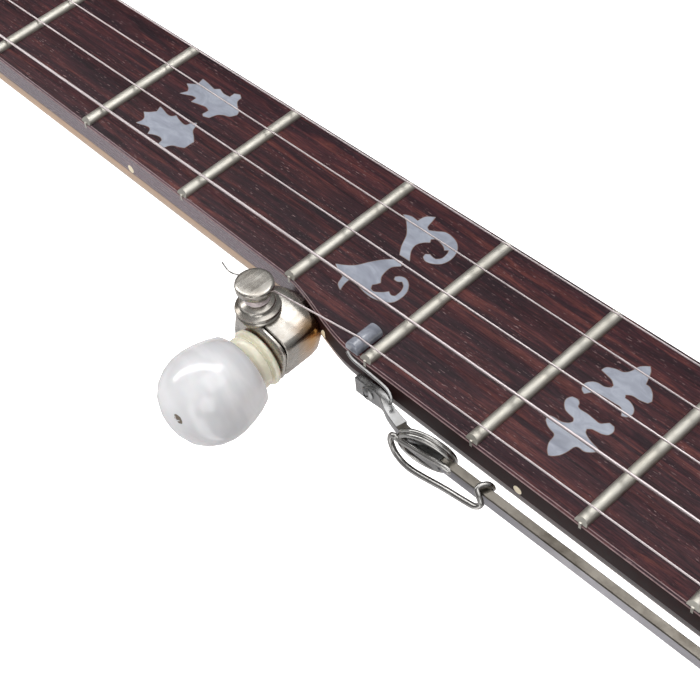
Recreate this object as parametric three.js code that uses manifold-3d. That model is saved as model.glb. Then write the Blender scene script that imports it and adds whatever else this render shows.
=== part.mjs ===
// Five-string resonator banjo with a sliding fifth-string capo, millimetres, +Z up.
// Frame: origin at the pot's centre on the resonator's back.
// -X runs towards the peghead, -Y towards the fifth-string (bass) side.
import * as THREE from "three";
import { mergeVertices } from "three/addons/utils/BufferGeometryUtils.js";
import Module from "manifold-3d";

const wasm = await Module();
wasm.setup();

// Neck and strings. X in the neck frame is measured from the nut, Z from the board's surface.
const SCALE = 667; // nut to bridge
const NUT_X = -643; // nut in the pot's frame
const BOARD_Z = 100; // playing surface in the pot's frame
const BOARD_T = 5;
const BOARD_END = 490;
const GAP = 0.3; // clearance between separate pieces
const FRETS = 22;
const FRET4_SHIFT = 2.8; // the fourth fret sits this far towards the body
const NECK_TOP = -BOARD_T - GAP;
const PEG_TILT = THREE.MathUtils.degToRad(13); // peghead pitch
const TAIL_X = 120.8 - NUT_X; // strings' tail end, in the neck frame
const STRING_Z = { nut: 1.65, bridge: 7.85, tail: 1.5 };
const STRINGS = [
  { number: 1, nutY: 14.0, bridgeY: 20.9, radius: 0.16 },
  { number: 2, nutY: 6.7, bridgeY: 10.6, radius: 0.17 },
  { number: 3, nutY: -2.7, bridgeY: 0.9, radius: 0.19 },
  { number: 4, nutY: -11.9, bridgeY: -10.4, radius: 0.28 },
];
// x and y in the peghead frame
const TUNERS = [
  { number: 4, x: -46, y: -21 },
  { number: 3, x: -112, y: -23 },
  { number: 2, x: -112, y: 23 },
  { number: 1, x: -46, y: 21 },
];
const TUNER_HOLE = { radius: 5, sides: 12 };
// x and knobZ place the knob's axis; the post stands at y, postX along X from it
const PEG5 = { x: 144.8, y: -27.9, knobZ: -7.6, postX: -2.4 };
const CAPO = { y: -28.1, z: -4.5, screwX: [169.6, 372], screwZ: -6.6 }; // y, z: rail axis

// Pot
const HEAD_R = 139.7;
const HEAD_Z = 92.5;
const RIM_R = 139.2;
const RES_R = 174;
const RES_H = 62;
const HOOK_R = 152.9;
const HOOK_PITCH = 15; // degrees; no hook at the neck or the tailpiece
const HOOK_PAIRS = 11;
const HOOK_ARC = [-165.5, 165.5]; // degrees, open at the neck

const MATERIALS = {
  rosewood: { color: 0x35201f, roughness: 0.45, metalness: 0 },
  maple: { color: 0x5a2a16, roughness: 0.3, metalness: 0 },
  nickel: { color: 0xc9c7c2, roughness: 0.2, metalness: 1 },
  fretwire: { color: 0xcfcbbb, roughness: 0.3, metalness: 1 },
  pearl: { color: 0xeeeef2, roughness: 0.25, metalness: 0 },
  bone: { color: 0xe8e0c8, roughness: 0.5, metalness: 0 },
  grey: { color: 0x8d919c, roughness: 0.4, metalness: 0 },
  skin: { color: 0xf2f0ea, roughness: 0.6, metalness: 0 },
  steel: { color: 0xb9b9b9, roughness: 0.3, metalness: 1 },
  black: { color: 0x101010, roughness: 0.3, metalness: 0 },
  wire: { color: 0x8e8c88, roughness: 0.25, metalness: 1 },
};
for (const [name, look] of Object.entries(MATERIALS)) {
  MATERIALS[name] = new THREE.MeshStandardMaterial(look);
}

// ---- Solids and geometries ----

function solid(source) {
  const bare = source.index ? source.toNonIndexed() : source.clone();
  bare.deleteAttribute("normal");
  bare.deleteAttribute("uv");
  const merged = mergeVertices(bare, 1e-4);
  return new wasm.Manifold(new wasm.Mesh({
    numProp: 3,
    vertProperties: merged.attributes.position.array,
    triVerts: new Uint32Array(merged.index.array),
  }));
}

function indexedGeometry(positions, index) {
  return new THREE.BufferGeometry()
    .setAttribute("position", new THREE.BufferAttribute(new Float32Array(positions), 3))
    .setIndex(index);
}

function solidToGeometry(body) {
  const { numVert, numProp, vertProperties, triVerts } = body.getMesh();
  const positions = new Float32Array(numVert * 3);
  for (let i = 0; i < numVert; i++) {
    positions.set(vertProperties.subarray(i * numProp, i * numProp + 3), i * 3);
  }
  const index = new THREE.BufferAttribute(new Uint32Array(triVerts), 1);
  const geometry = indexedGeometry(positions, index);
  geometry.computeVertexNormals();
  return geometry;
}

const union = (...parts) => parts.reduce((a, b) => a.add(b));
const cut = (body, ...tools) => tools.reduce((a, b) => a.subtract(b), body);

const box = (x0, x1, y0, y1, z0, z1) =>
  new THREE.BoxGeometry(x1 - x0, y1 - y0, z1 - z0)
    .translate((x0 + x1) / 2, (y0 + y1) / 2, (z0 + z1) / 2);
const solidBox = (...limits) => solid(box(...limits));

// Revolves [r, z] points about Z. The profile runs counter-clockwise, r to the right,
// and is on the axis at both ends or closed on itself.
const lathe = (profile, segments) =>
  new THREE.LatheGeometry(profile.map(([r, z]) => new THREE.Vector2(r, z)), segments)
    .rotateX(Math.PI / 2);
const rod = (r, z0, z1, segments = 12) =>
  lathe([[0, z0], [r, z0], [r, z1], [0, z1]], segments);
const rodX = (r, x0, x1, segments) => rod(r, x0, x1, segments).rotateY(Math.PI / 2);
const rodY = (r, y0, y1, segments) => rod(r, y0, y1, segments).rotateX(-Math.PI / 2);
const ring = (r0, r1, z0, z1, segments) =>
  lathe([[r0, z0], [r1, z0], [r1, z1], [r0, z1], [r0, z0]], segments);

// Extrudes an [x, y] outline along Z; each hole is a list of [x, y] points
function prism(outline, z0, z1, holes = []) {
  const vectors = (points) => points.map(([x, y]) => new THREE.Vector2(x, y));
  const shape = new THREE.Shape(vectors(outline));
  shape.holes = holes.map((hole) => new THREE.Path(vectors(hole)));
  return new THREE.ExtrudeGeometry(shape, { depth: z1 - z0, bevelEnabled: false })
    .translate(0, 0, z0);
}
// Extrudes an [x, z] outline along Y
const prismY = (outline, y0, y1) =>
  prism(outline, 0, y1 - y0).rotateX(Math.PI / 2).translate(0, y1, 0);

// Closed loft through rings of equal point counts, capped with fans
function loft(rings) {
  const count = rings[0].length;
  const positions = rings.flat(2);
  const index = [];
  for (let i = 0; i + 1 < rings.length; i++) {
    for (let j = 0; j < count; j++) {
      const a = i * count + j;
      const b = i * count + ((j + 1) % count);
      index.push(a, b, b + count, a, b + count, a + count);
    }
  }
  for (const k of [0, rings.length - 1]) {
    const centre = positions.length / 3;
    positions.push(...[0, 1, 2].map((axis) =>
      rings[k].reduce((sum, point) => sum + point[axis] / count, 0)));
    for (let j = 0; j < count; j++) {
      const a = k * count + j;
      const b = k * count + ((j + 1) % count);
      index.push(centre, ...(k === 0 ? [b, a] : [a, b]));
    }
  }
  const geometry = indexedGeometry(positions, index);
  // a negative volume means the rings wind the other way: turn every triangle over
  if (solid(geometry).volume() < 0) {
    for (let i = 0; i < index.length; i += 3) {
      [index[i + 1], index[i + 2]] = [index[i + 2], index[i + 1]];
    }
    geometry.setIndex(index);
  }
  return geometry;
}

// Six-sided wire through the points, or along a smooth curve cut into `steps` pieces
function wire(points, radius, steps = 0) {
  const sides = 6;
  const corners = points.map((point) => new THREE.Vector3(...point));
  const path = steps
    ? new THREE.CatmullRomCurve3(corners, false, "centripetal").getPoints(steps)
    : corners;
  let up = null;
  return loft(path.map((point, i) => {
    const before = point.clone().sub(path[Math.max(i - 1, 0)]).normalize();
    const after = path[Math.min(i + 1, path.length - 1)].clone().sub(point).normalize();
    const tangent = before.add(after).normalize();
    if (!up) up = new THREE.Vector3(...(Math.abs(tangent.z) > 0.9 ? [1, 0, 0] : [0, 0, 1]));
    up = up.clone().sub(tangent.clone().multiplyScalar(up.dot(tangent))).normalize();
    const side = new THREE.Vector3().crossVectors(tangent, up);
    return Array.from({ length: sides }, (_, j) => {
      const angle = (2 * Math.PI * j) / sides;
      return point.clone()
        .addScaledVector(up, radius * Math.cos(angle))
        .addScaledVector(side, radius * Math.sin(angle))
        .toArray();
    });
  }));
}

// [x, y] on a circle about Z, angle in degrees
function polar(radius, degrees) {
  const angle = THREE.MathUtils.degToRad(degrees);
  return [radius * Math.cos(angle), radius * Math.sin(angle)];
}

// Flat band between two radii and two angles in degrees
function arcBand(r0, r1, z0, z1, [from, to], steps = 40) {
  const angles = Array.from({ length: steps + 1 }, (_, i) => from + ((to - from) * i) / steps);
  const outer = angles.map((angle) => polar(r1, angle));
  const inner = angles.map((angle) => polar(r0, angle)).reverse();
  return solid(prism([...outer, ...inner], z0, z1));
}

// Moves a solid out along X, then turns it about the pot's axis
const aroundPot = (body, radius, degrees) =>
  body.translate([radius, 0, 0]).rotate([0, 0, degrees]);

// ---- Groups ----

const root = new THREE.Group();

function add(name, shape, material, parent = root) {
  const geometry = shape.isBufferGeometry ? shape : solidToGeometry(shape);
  const mesh = new THREE.Mesh(geometry, MATERIALS[material]);
  mesh.name = name;
  parent.add(mesh);
}

function addGroup(parent, x, y, z) {
  const group = new THREE.Group();
  group.position.set(x, y, z);
  parent.add(group);
  return group;
}

const neckFrame = addGroup(root, NUT_X, 0, BOARD_Z);
const pegFrame = addGroup(neckFrame, 0, 0, -1.5);
pegFrame.rotation.y = -PEG_TILT; // the -X end goes down
pegFrame.updateMatrix();

// ---- Fingerboard and frets ----

const { smoothstep } = THREE.MathUtils;
const fretX = (n) => SCALE * (1 - 2 ** (-n / 12)) + (n === 4 ? FRET4_SHIFT : 0);
const fretNumbers = Array.from({ length: FRETS }, (_, i) => i + 1);

// Distance of the board's edges from the centreline; the bass edge widens for the fifth string
const trebleEdge = (x) => 15.2 + 0.0186 * x;
const bassEdge = (x) =>
  THREE.MathUtils.lerp(trebleEdge(x), 21.56 + 0.0092 * x, smoothstep(x, 138, 164));

function fingerboard() {
  const widening = Array.from({ length: 6 }, (_, i) => 138 + 4.4 * i);
  const stations = [0, 65, 130, ...widening, 166, 330, BOARD_END];
  const bassSide = stations.map((x) => [x, -bassEdge(x)]);
  const trebleSide = stations.map((x) => [x, trebleEdge(x)]).reverse();
  const slots = fretNumbers.map((n) =>
    solidBox(fretX(n) - 0.55, fretX(n) + 0.55, -40, 40, -3.2, 1));
  const keelChannel = solidBox(fretX(1) - 0.5, fretX(FRETS) + 0.55, -1, 1, -3.6, -2.3);
  return cut(solid(prism([...bassSide, ...trebleSide], -BOARD_T, 0)), ...slots, keelChannel);
}

// Crowns with tangs, joined by a keel inside the board
function frets() {
  const halfWidth = 1.15;
  const shoulder = halfWidth * 0.62;
  const section = [ // [x, z]
    [-0.25, -2.9], [0.25, -2.9], [0.25, 0.3], [halfWidth, 0.3], [shoulder, 0.95],
    [0, 1.15], [-shoulder, 0.95], [-halfWidth, 0.3], [-0.25, 0.3],
  ];
  const keel = solidBox(fretX(1) - 0.2, fretX(FRETS) + 0.2, -0.7, 0.7, -3.3, -2.6);
  return union(keel, ...fretNumbers.map((n) => {
    const x = fretX(n);
    const bar = prismY(section, 0.1 - bassEdge(x), trebleEdge(x) - 0.1);
    return solid(bar.translate(x, 0, 0));
  }));
}

add("fingerboard", fingerboard(), "rosewood", neckFrame);
add("frets", frets(), "fretwire", neckFrame);

// ---- Neck and peghead ----

const PEGHEAD_HALF = [ // [distance from the nut, half width]
  [0, 15.3], [12, 17.5], [26, 27], [45, 33.5], [62, 33], [80, 29], [98, 30.5],
  [116, 36], [132, 38], [146, 35], [157, 27], [162, 16], [158, 6], [155, 0],
];
const pegheadOutline = [
  ...PEGHEAD_HALF.map(([x, y]) => [-x, -y]).reverse(),
  ...PEGHEAD_HALF.slice(0, -1).map(([x, y]) => [-x, y]),
];

const NECK_STATIONS = [
  -3, 20, 70, 130, 138, 144, 150, 156, 164, 200,
  300, 400, 432, 440, 448, 456, 464, 472, 480, 489,
];

// Half-round section below the board; the depth grows into the heel near the pot
function neckSection(station) {
  const x = Math.max(station, 0);
  const treble = trebleEdge(x) - 0.25;
  const bass = bassEdge(x) - 0.25;
  const centre = (treble - bass) / 2;
  const halfWidth = (treble + bass) / 2;
  const depth = 13.6 + 0.014 * x + 36 * smoothstep(x, 430, 476) ** 1.5;
  const steps = 12;
  return Array.from({ length: steps + 1 }, (_, i) => {
    const across = Math.cos((Math.PI * i) / steps);
    const down = Math.sin((Math.PI * i) / steps);
    return [
      station,
      centre - halfWidth * Math.sign(across) * Math.abs(across) ** 1.3,
      NECK_TOP - depth * down ** 1.3,
    ];
  });
}

// Shaft, heel and peghead in one piece
function neck() {
  const inPegFrame = (body) => body.transform(pegFrame.matrix.elements);
  const potClearance = solid(rod(HEAD_R + 0.2, -80, 10, 96).translate(-NUT_X, 0, 0));
  const heelTongue = cut(solidBox(488, 504, -23.5, 23.5, -61, -14.8), potClearance);
  const body = union(
    solid(loft(NECK_STATIONS.map(neckSection))),
    heelTongue,
    inPegFrame(solid(prism(pegheadOutline, -15, -2.3))),
  );
  const tunerHoles = TUNERS.map(({ x, y }) => inPegFrame(
    solid(rod(TUNER_HOLE.radius, -30, 20, TUNER_HOLE.sides).translate(x, y, 0))));
  const peg5Socket = solid(rodY(2.9, 0, 16, 12).translate(PEG5.x, -24, PEG5.knobZ));
  const boardSeat = solidBox(-5.5, 520, -60, 60, NECK_TOP, 30);
  const nutEdge = solidBox(-8.3, -5.4, -30, 30, -4, 30);
  const capoScrewHoles = CAPO.screwX.map((x) =>
    solid(rodY(1.3, 0, 9, 8).translate(x, -bassEdge(x) - 2, CAPO.screwZ)));
  return cut(body, ...tunerHoles, peg5Socket, boardSeat, nutEdge, ...capoScrewHoles);
}

function pegheadOverlay() {
  const outline = pegheadOutline.map(([x, y]) => [Math.min(x, -7.5), y * 0.995]);
  const { radius, sides } = TUNER_HOLE;
  const holes = TUNERS.map((tuner) => Array.from({ length: sides }, (_, i) => {
    const [x, y] = polar(radius, (-360 * i) / sides);
    return [tuner.x + x, tuner.y + y];
  }));
  return prism(outline, -2, -0.4, holes);
}

const TRUSS_COVER = [ // [x, y]
  [-22, -8], [-34, -7.5], [-41, -3], [-43, 0], [-41, 3],
  [-34, 7.5], [-22, 8], [-9, 5], [-9, -5],
];

// Block with a top that slopes along X
function nut() {
  const slope = box(-6, 1, -20, 20, 0, 4).rotateY(-0.18).translate(-2.4, 0, 1.2);
  return cut(solidBox(-5.2, -0.3, -15, 15, -4.7, 1.2), solid(slope));
}

// Block beside the fifth fret, with a step on its -X side
function fifthNut() {
  const step = solidBox(160, 163, -30, -10, 1.4, 3);
  return cut(solidBox(162.2, 165.4, -22.9, -16.1, 0.1, 2.1), step);
}

add("neck", neck(), "maple", neckFrame);
add("peghead_overlay", pegheadOverlay(), "black", pegFrame);
add("truss_rod_cover", prism(TRUSS_COVER, -0.1, 1.5), "black", pegFrame);
add("nut", nut(), "bone", neckFrame);
add("fifth_nut", fifthNut(), "grey", neckFrame);

// ---- Strings: post, nut, bridge, tailpiece ----

for (const { number, nutY, bridgeY, radius } of STRINGS) {
  const tuner = TUNERS.find((candidate) => candidate.number === number);
  const postY = tuner.y - Math.sign(tuner.y) * (2.4 + radius); // beside the post's waist
  const post = new THREE.Vector3(tuner.x, postY, 8.2).applyMatrix4(pegFrame.matrix);
  const points = [
    post.toArray(),
    [-2.6, nutY, STRING_Z.nut],
    [SCALE, bridgeY, STRING_Z.bridge],
    [TAIL_X, bridgeY * 0.62, STRING_Z.tail],
  ];
  add(`string_${number}`, wire(points, radius), "steel", neckFrame);
}
const fifthString = [
  [PEG5.x + PEG5.postX + 0.4, PEG5.y + 2.75, 5.3],
  [163.9, -20.7, 2.42],
  [SCALE, -21.8, STRING_Z.bridge],
  [TAIL_X, -13.5, STRING_Z.tail],
];
add("string_5", wire(fifthString, 0.16), "steel", neckFrame);

// ---- Peghead tuners: [r, z] profiles in the peghead frame ----

const TUNER_HOUSING = [
  [2.3, -25.6], [6, -25.6], [8.2, -24], [8.2, -17], [7, -15.3], [4.7, -15.3],
  [4.7, 0.2], [3.15, 0.2], [3.15, -14.2], [2.3, -14.2], [2.3, -25.6],
];
const TUNER_POST = [
  [0, -14], [2.9, -14], [2.9, 5.5], [2.2, 7.2], [2.2, 9.2], [3.2, 10.6], [3.2, 12], [0, 12],
];
const TUNER_KNOB = [
  [0, -41], [6, -40.6], [9, -38.5], [9.6, -35], [9.2, -29],
  [7, -26.6], [4, -26.1], [2, -26.1], [2, -14.6], [0, -14.6],
];
for (const { number, x, y } of TUNERS) {
  const tuner = addGroup(pegFrame, x, y, 0);
  add(`tuner_${number}_housing`, lathe(TUNER_HOUSING, 16), "nickel", tuner);
  add(`tuner_${number}_post`, lathe(TUNER_POST, 12), "nickel", tuner);
  add(`tuner_${number}_knob`, lathe(TUNER_KNOB, 16), "pearl", tuner);
}

// ---- Fifth-string peg ----

const PEG5_HOUSING = [ // [x, z]
  [-7.2, -0.6], [4.8, -0.2], [6.8, -2.2], [6.9, -9.6],
  [3.4, -12.6], [-5.2, -12.6], [-7.7, -10.4], [-8.1, -2.2],
];
const PEG5_NECK_SIDE = [ // [x, y] in the neck frame
  [130, -20.2], [139, -18.1], [145, -18.9], [151, -20.6],
  [157, -22.4], [160, -23.2], [160, 0], [130, 0],
];
const PEG5_POST = [ // [r, z]
  [0, -4.1], [2.5, -4.1], [2.5, 0.3], [4.5, 0.3], [4.5, 1.6], [3.7, 2.4], [3.2, 3.0],
  [2.4, 4.0], [2.4, 5.9], [3.5, 6.2], [3.95, 6.9], [3.95, 8.1], [3.3, 8.7], [0, 8.85],
];
const PEG5_KNOB = [ // [r, distance towards -Y]
  [0, 28.9], [2, 28.9], [2, 31.8], [6.4, 31.9], [6.5, 32.9], [5.0, 33.4], [4.6, 36.5],
  [8.3, 36.9], [9.3, 39.1], [10.35, 44.3], [10.3, 46.7], [9.0, 50.3], [6.4, 53.3],
  [3, 54.8], [0, 55.1],
];

// Housing hollowed for post and knob, shaped to the neck's side, with a plug into the neck
function peg5Housing() {
  const neckSide = PEG5_NECK_SIDE.map(([x, y]) => [x - PEG5.x, y - 1.2]);
  const body = cut(
    solid(prismY(PEG5_HOUSING, -31.3, -19.9)),
    solid(rod(2.75, -4.4, 3, 16).translate(PEG5.postX, PEG5.y, 0)),
    solid(rodY(2.3, -5, 0, 12).translate(0, -28.6, PEG5.knobZ)),
    solid(prism(neckSide, -16, 3)),
  );
  return union(body, solid(rodY(2.6, 0, 12, 12).translate(0, -22.2, PEG5.knobZ)));
}

const peg5Frame = addGroup(neckFrame, PEG5.x, 0, 0);
const peg5Post = lathe(PEG5_POST, 14).translate(PEG5.postX, PEG5.y, 0);
const peg5Knob = lathe(PEG5_KNOB, 18).rotateX(Math.PI / 2).translate(0, 0, PEG5.knobZ);
add("peg5_housing", peg5Housing(), "nickel", peg5Frame);
add("peg5_post", peg5Post, "nickel", peg5Frame);
add("peg5_knob", peg5Knob, "pearl", peg5Frame);

// ---- Sliding fifth-string capo ----

const besideNeck = (x) => -bassEdge(x) - GAP;

// Rail with flattened ends, one screw hole in each
function capoRail() {
  const flatY = (x) => besideNeck(x) - 0.8;
  const bendY = (x) => besideNeck(x) - 1.3;
  const stations = [ // [x, y, z, half width, half height]
    [164.5, flatY(164.5), -6.2, 0.7, 2.2],
    [167, flatY(167), -6.4, 0.7, 3.1],
    [171.5, flatY(171.5), -6.4, 0.7, 3.1],
    [176, bendY(176), -5.4, 0.9, 2.0],
    [181, -26.9, -4.4, 1.05, 1.4],
    [186, CAPO.y, CAPO.z, 1.05, 1.32],
    [358, CAPO.y, CAPO.z, 1.05, 1.32],
    [363, -27.2, -4.4, 1.05, 1.4],
    [368, bendY(368), -5.4, 0.9, 2.0],
    [371, flatY(372), -6.4, 0.7, 3.1],
    [376, flatY(376), -6.4, 0.7, 3.1],
  ];
  const octagon = [ // y and z as fractions of the half width and half height
    [-1, 0.5], [-0.5, 1], [0.5, 1], [1, 0.5], [1, -0.5], [0.5, -1], [-0.5, -1], [-1, -0.5],
  ];
  const sections = stations.map(([x, y, z, halfWidth, halfHeight]) =>
    octagon.map(([across, up]) => [x, y + halfWidth * across, z + halfHeight * up]));
  const screwHoles = CAPO.screwX.map((x) =>
    solid(rodY(1.35, 0, 9, 10).translate(x, -30, CAPO.screwZ)));
  return cut(solid(loft(sections)), ...screwHoles);
}

const CAPO_SCREW = [ // [r, distance towards +Y]
  [0, -1.1], [1.6, -1.1], [2.3, -0.2], [2.3, 0], [1.0, 0.05], [1.0, 7.5], [0, 8.5],
];

// Two sleeves on the rail, joined by a strip on the -Y side
function capoSlider() {
  const { y, z } = CAPO;
  const sleeve = solidBox(187.5, 203.5, y - 2.1, y + 2.1, z - 2.3, z + 2.3);
  const bore = solidBox(180, 210, y - 1.4, y + 1.4, z - 1.65, z + 1.65);
  const window = solidBox(193, 200.5, y - 5, y + 5, z - 5, z + 5);
  const strip = solidBox(193, 200.5, y - 5, y - 1.4, z - 1, z + 1);
  return cut(sleeve, bore, cut(window, strip));
}

const CAPO_LEVER = [ // [x, y from the rail axis, z from the rail axis]
  [203.2, -3.6, -4.6], [198, -3.9, -4.4], [190, -4.1, -3.4],
  [184.6, -3.9, -2.2], [182.6, -3.6, 0.4], [184.4, -3.5, 2.6],
  [188.6, -3.4, 3.3], [193, -1.2, 3.6], [197.2, 1.2, 3.5],
];

add("capo_rail", capoRail(), "wire", neckFrame);
CAPO.screwX.forEach((x, i) => {
  const screw = lathe(CAPO_SCREW, 10).rotateX(-Math.PI / 2)
    .translate(x, besideNeck(x) - 1.95, CAPO.screwZ);
  add(`capo_screw_${i + 1}`, screw, "nickel", neckFrame);
});
add("capo_slider", capoSlider(), "wire", neckFrame);
const leverPath = CAPO_LEVER.map(([x, y, z]) => [x, CAPO.y + y, CAPO.z + z]);
add("capo_lever", wire(leverPath, 0.5, 26), "wire", neckFrame);

// ---- Pot: [r, z] profiles ----

const TONE_RING = [
  [125.5, 84.4], [RIM_R, 84.4], [RIM_R, 90.4], [138, 91.7],
  [135.5, 91.7], [133.5, 89.5], [125.5, 88.8], [125.5, 84.4],
];
const HEAD = [
  [0, HEAD_Z - 0.5], [138.6, HEAD_Z - 0.5], [HEAD_R, 90.8], [HEAD_R, 86.2],
  [140.5, 86.2], [140.5, 91.2], [139.2, HEAD_Z], [0, HEAD_Z],
];
const TENSION_HOOP = [
  [140.9, 87.2], [148.6, 87.2], [149.2, 88.2], [149.2, 94.2], [148.2, 95.2],
  [143.4, 95.2], [142.8, 92.4], [140.9, 91.6], [140.9, 87.2],
];
const RESONATOR = [
  [0, 0], [152, 0], [166, 2.6], [172.8, 10], [RES_R, 20], [RES_R, RES_H],
  [168.5, RES_H], [168.5, 20], [163, 8], [150, 5.2], [0, 5.2],
];
const FLANGE_WINDOW = [ // [x, y]
  [155, -5.6], [162, -6.4], [166, -2.5], [166, 2.5], [162, 6.4], [155, 5.6],
];

const hookAngles = Array.from({ length: HOOK_PAIRS }, (_, i) => (i + 1) * HOOK_PITCH)
  .flatMap((offset) => [180 - offset, 180 + offset]);

// Flat ring and thicker collar, pierced for the hooks and between them, open at the neck
function flange() {
  const plate = solid(ring(140, 171.5, 62.4, 64.6, 60));
  const collar = solid(ring(139.9, 150.5, 57.5, 65.6, 60));
  const hookHole = solid(rod(2.1, 50, 70, 6));
  const window = solid(prism(FLANGE_WINDOW, 60, 68));
  const windowAngles = hookAngles
    .map((angle) => angle + HOOK_PITCH / 2)
    .filter((angle) => Math.abs(angle - 180) > 12);
  return cut(
    union(plate, collar),
    ...hookAngles.map((angle) => aroundPot(hookHole, HOOK_R, angle)),
    ...windowAngles.map((angle) => aroundPot(window, 0, angle)),
    solidBox(-180, -130, -26, 26, 50, 70),
  );
}

function resonator() {
  const neckNotch = solidBox(-190, -150, -25.6, 25.6, 36, 70);
  return cut(solid(lathe(RESONATOR, 56)), neckNotch);
}

// Hooks over the hoop, joined by a thin arc below the flange
function tensionHooks() {
  const claw = cut(
    solidBox(-8.2, 1.5, -2, 2, 94.6, 97.4),
    solidBox(-12, -3.2, -3, 3, 90, 95.6),
  );
  const shoulder = solidBox(-1.4, 1.4, -1.9, 1.9, 91, 95.2);
  const hook = union(solid(rod(1.55, 43.5, 94.5, 6)), claw, shoulder);
  return union(
    arcBand(HOOK_R - 0.6, HOOK_R + 0.6, 43.5, 44.7, HOOK_ARC),
    ...hookAngles.map((angle) => aroundPot(hook, HOOK_R, angle)),
  );
}

// Five-sided nuts round the hooks, joined by a thin arc
function hookNuts() {
  const hookNut = solid(ring(2.2, 3.8, 46.5, 57, 5));
  return union(
    arcBand(HOOK_R + 2.7, HOOK_R + 3.9, 53.5, 54.7, HOOK_ARC),
    ...hookAngles.map((angle) => aroundPot(hookNut, HOOK_R, angle)),
  );
}

const coordinatorRod = (z) => rodX(3.9, -126.5, 126.5, 12).translate(0, 0, z);

add("rim", ring(127.5, RIM_R, 26, 84, 48), "maple");
add("tone_ring", lathe(TONE_RING, 48), "nickel");
add("head", lathe(HEAD, 48), "skin");
add("tension_hoop", lathe(TENSION_HOOP, 48), "nickel");
add("flange", flange(), "nickel");
add("resonator", resonator(), "maple");
add("tension_hooks", tensionHooks(), "nickel");
add("hook_nuts", hookNuts(), "nickel");
add("coordinator_rod_upper", coordinatorRod(74), "nickel");
add("coordinator_rod_lower", coordinatorRod(50), "nickel");

// ---- Bridge, tailpiece, armrest, thumbscrews ----

// Upright plate with two openings that leave three feet
function bridge() {
  const opening = [[9, 0], [9, 6], [5, 9.5], [-5, 9.5], [-9, 6], [-9, 0]]; // [y, z]
  const openings = [-15.5, 15.5].map((y) => solid(
    prism(opening, -3, 3).rotateX(Math.PI / 2).rotateZ(Math.PI / 2).translate(0, y, 92)));
  return cut(solidBox(-1.2, 1.2, -34, 34, 92.8, 107.2), ...openings)
    .translate([SCALE + NUT_X, 0, 0]);
}

// Plate over the hoop, leg down at its +X end, lip up at its -X end
function tailpieceBracket() {
  return union(
    solidBox(122, 152.4, -16, 16, 97.6, 98.6),
    solidBox(151.2, 152.6, -9, 9, 70, 98.6),
    solidBox(121.6, 123, -16, 16, 97.6, 102.4),
  );
}

// Lid plate, hinge barrel at its +X end, rib below
function tailpieceLid() {
  return union(
    solidBox(124.4, 149, -15.4, 15.4, 103.2, 104.2),
    solid(rodY(1.5, -15.4, 15.4, 12).translate(149.5, 0, 102.7)),
    solidBox(144.6, 145.4, -15.4, 15.4, 100.2, 103.6),
  );
}

// Curved plate and turned-down edge on the bass side, with an upright below
function armrest() {
  const span = [-84, -36];
  return union(
    arcBand(146, 178, 99.5, 101.3, span, 16),
    arcBand(176.4, 178.2, 93.5, 101, span, 16),
    aroundPot(solidBox(-1.2, 1.2, -4, 4, 70, 100.4), 157.4, -52.5),
  );
}

const THUMBSCREW = [ // [r, z]
  [0, 64.9], [4.6, 64.9], [5.6, 66], [5.6, 70], [4.6, 71.4], [0, 71.4],
];

add("bridge", bridge(), "maple");
add("tailpiece_bracket", tailpieceBracket(), "nickel");
add("tailpiece_lid", tailpieceLid(), "nickel");
add("tailpiece_bolt", rodX(2.4, 0, 9, 10).translate(153, 0, 76), "nickel");
add("armrest", armrest(), "nickel");
[45, 135, 225, 315].forEach((angle, i) => {
  const thumbscrew = lathe(THUMBSCREW, 12).translate(...polar(167.5, angle), 0);
  add(`thumbscrew_${i + 1}`, thumbscrew, "nickel");
});

export default root;
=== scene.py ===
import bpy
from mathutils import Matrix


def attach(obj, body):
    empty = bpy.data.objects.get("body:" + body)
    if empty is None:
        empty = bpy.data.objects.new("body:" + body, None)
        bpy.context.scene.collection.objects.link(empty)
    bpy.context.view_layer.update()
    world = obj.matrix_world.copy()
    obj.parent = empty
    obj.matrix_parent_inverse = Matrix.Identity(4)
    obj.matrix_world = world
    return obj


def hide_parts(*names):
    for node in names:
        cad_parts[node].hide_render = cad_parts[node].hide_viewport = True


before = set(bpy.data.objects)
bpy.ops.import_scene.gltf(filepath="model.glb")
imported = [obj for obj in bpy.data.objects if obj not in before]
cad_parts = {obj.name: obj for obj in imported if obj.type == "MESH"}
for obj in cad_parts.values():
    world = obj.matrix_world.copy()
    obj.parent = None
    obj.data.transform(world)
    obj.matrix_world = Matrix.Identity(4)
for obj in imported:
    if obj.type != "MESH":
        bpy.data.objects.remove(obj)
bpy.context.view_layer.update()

from math import atan2, copysign, cos, pi, radians, sin

import bmesh
import bpy
from mathutils import Matrix, Vector
from mathutils.geometry import tessellate_polygon

BODY = "instrument"  # the frame body that most pieces ride
NUT_X = -643.0  # nut's face
BOARD_Z = 100.0  # board's playing surface
SCALE_LENGTH = 667  # nut to bridge
BRIDGE_X = NUT_X + SCALE_LENGTH
FRETS = 22
POT_SEGMENTS = 128


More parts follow.
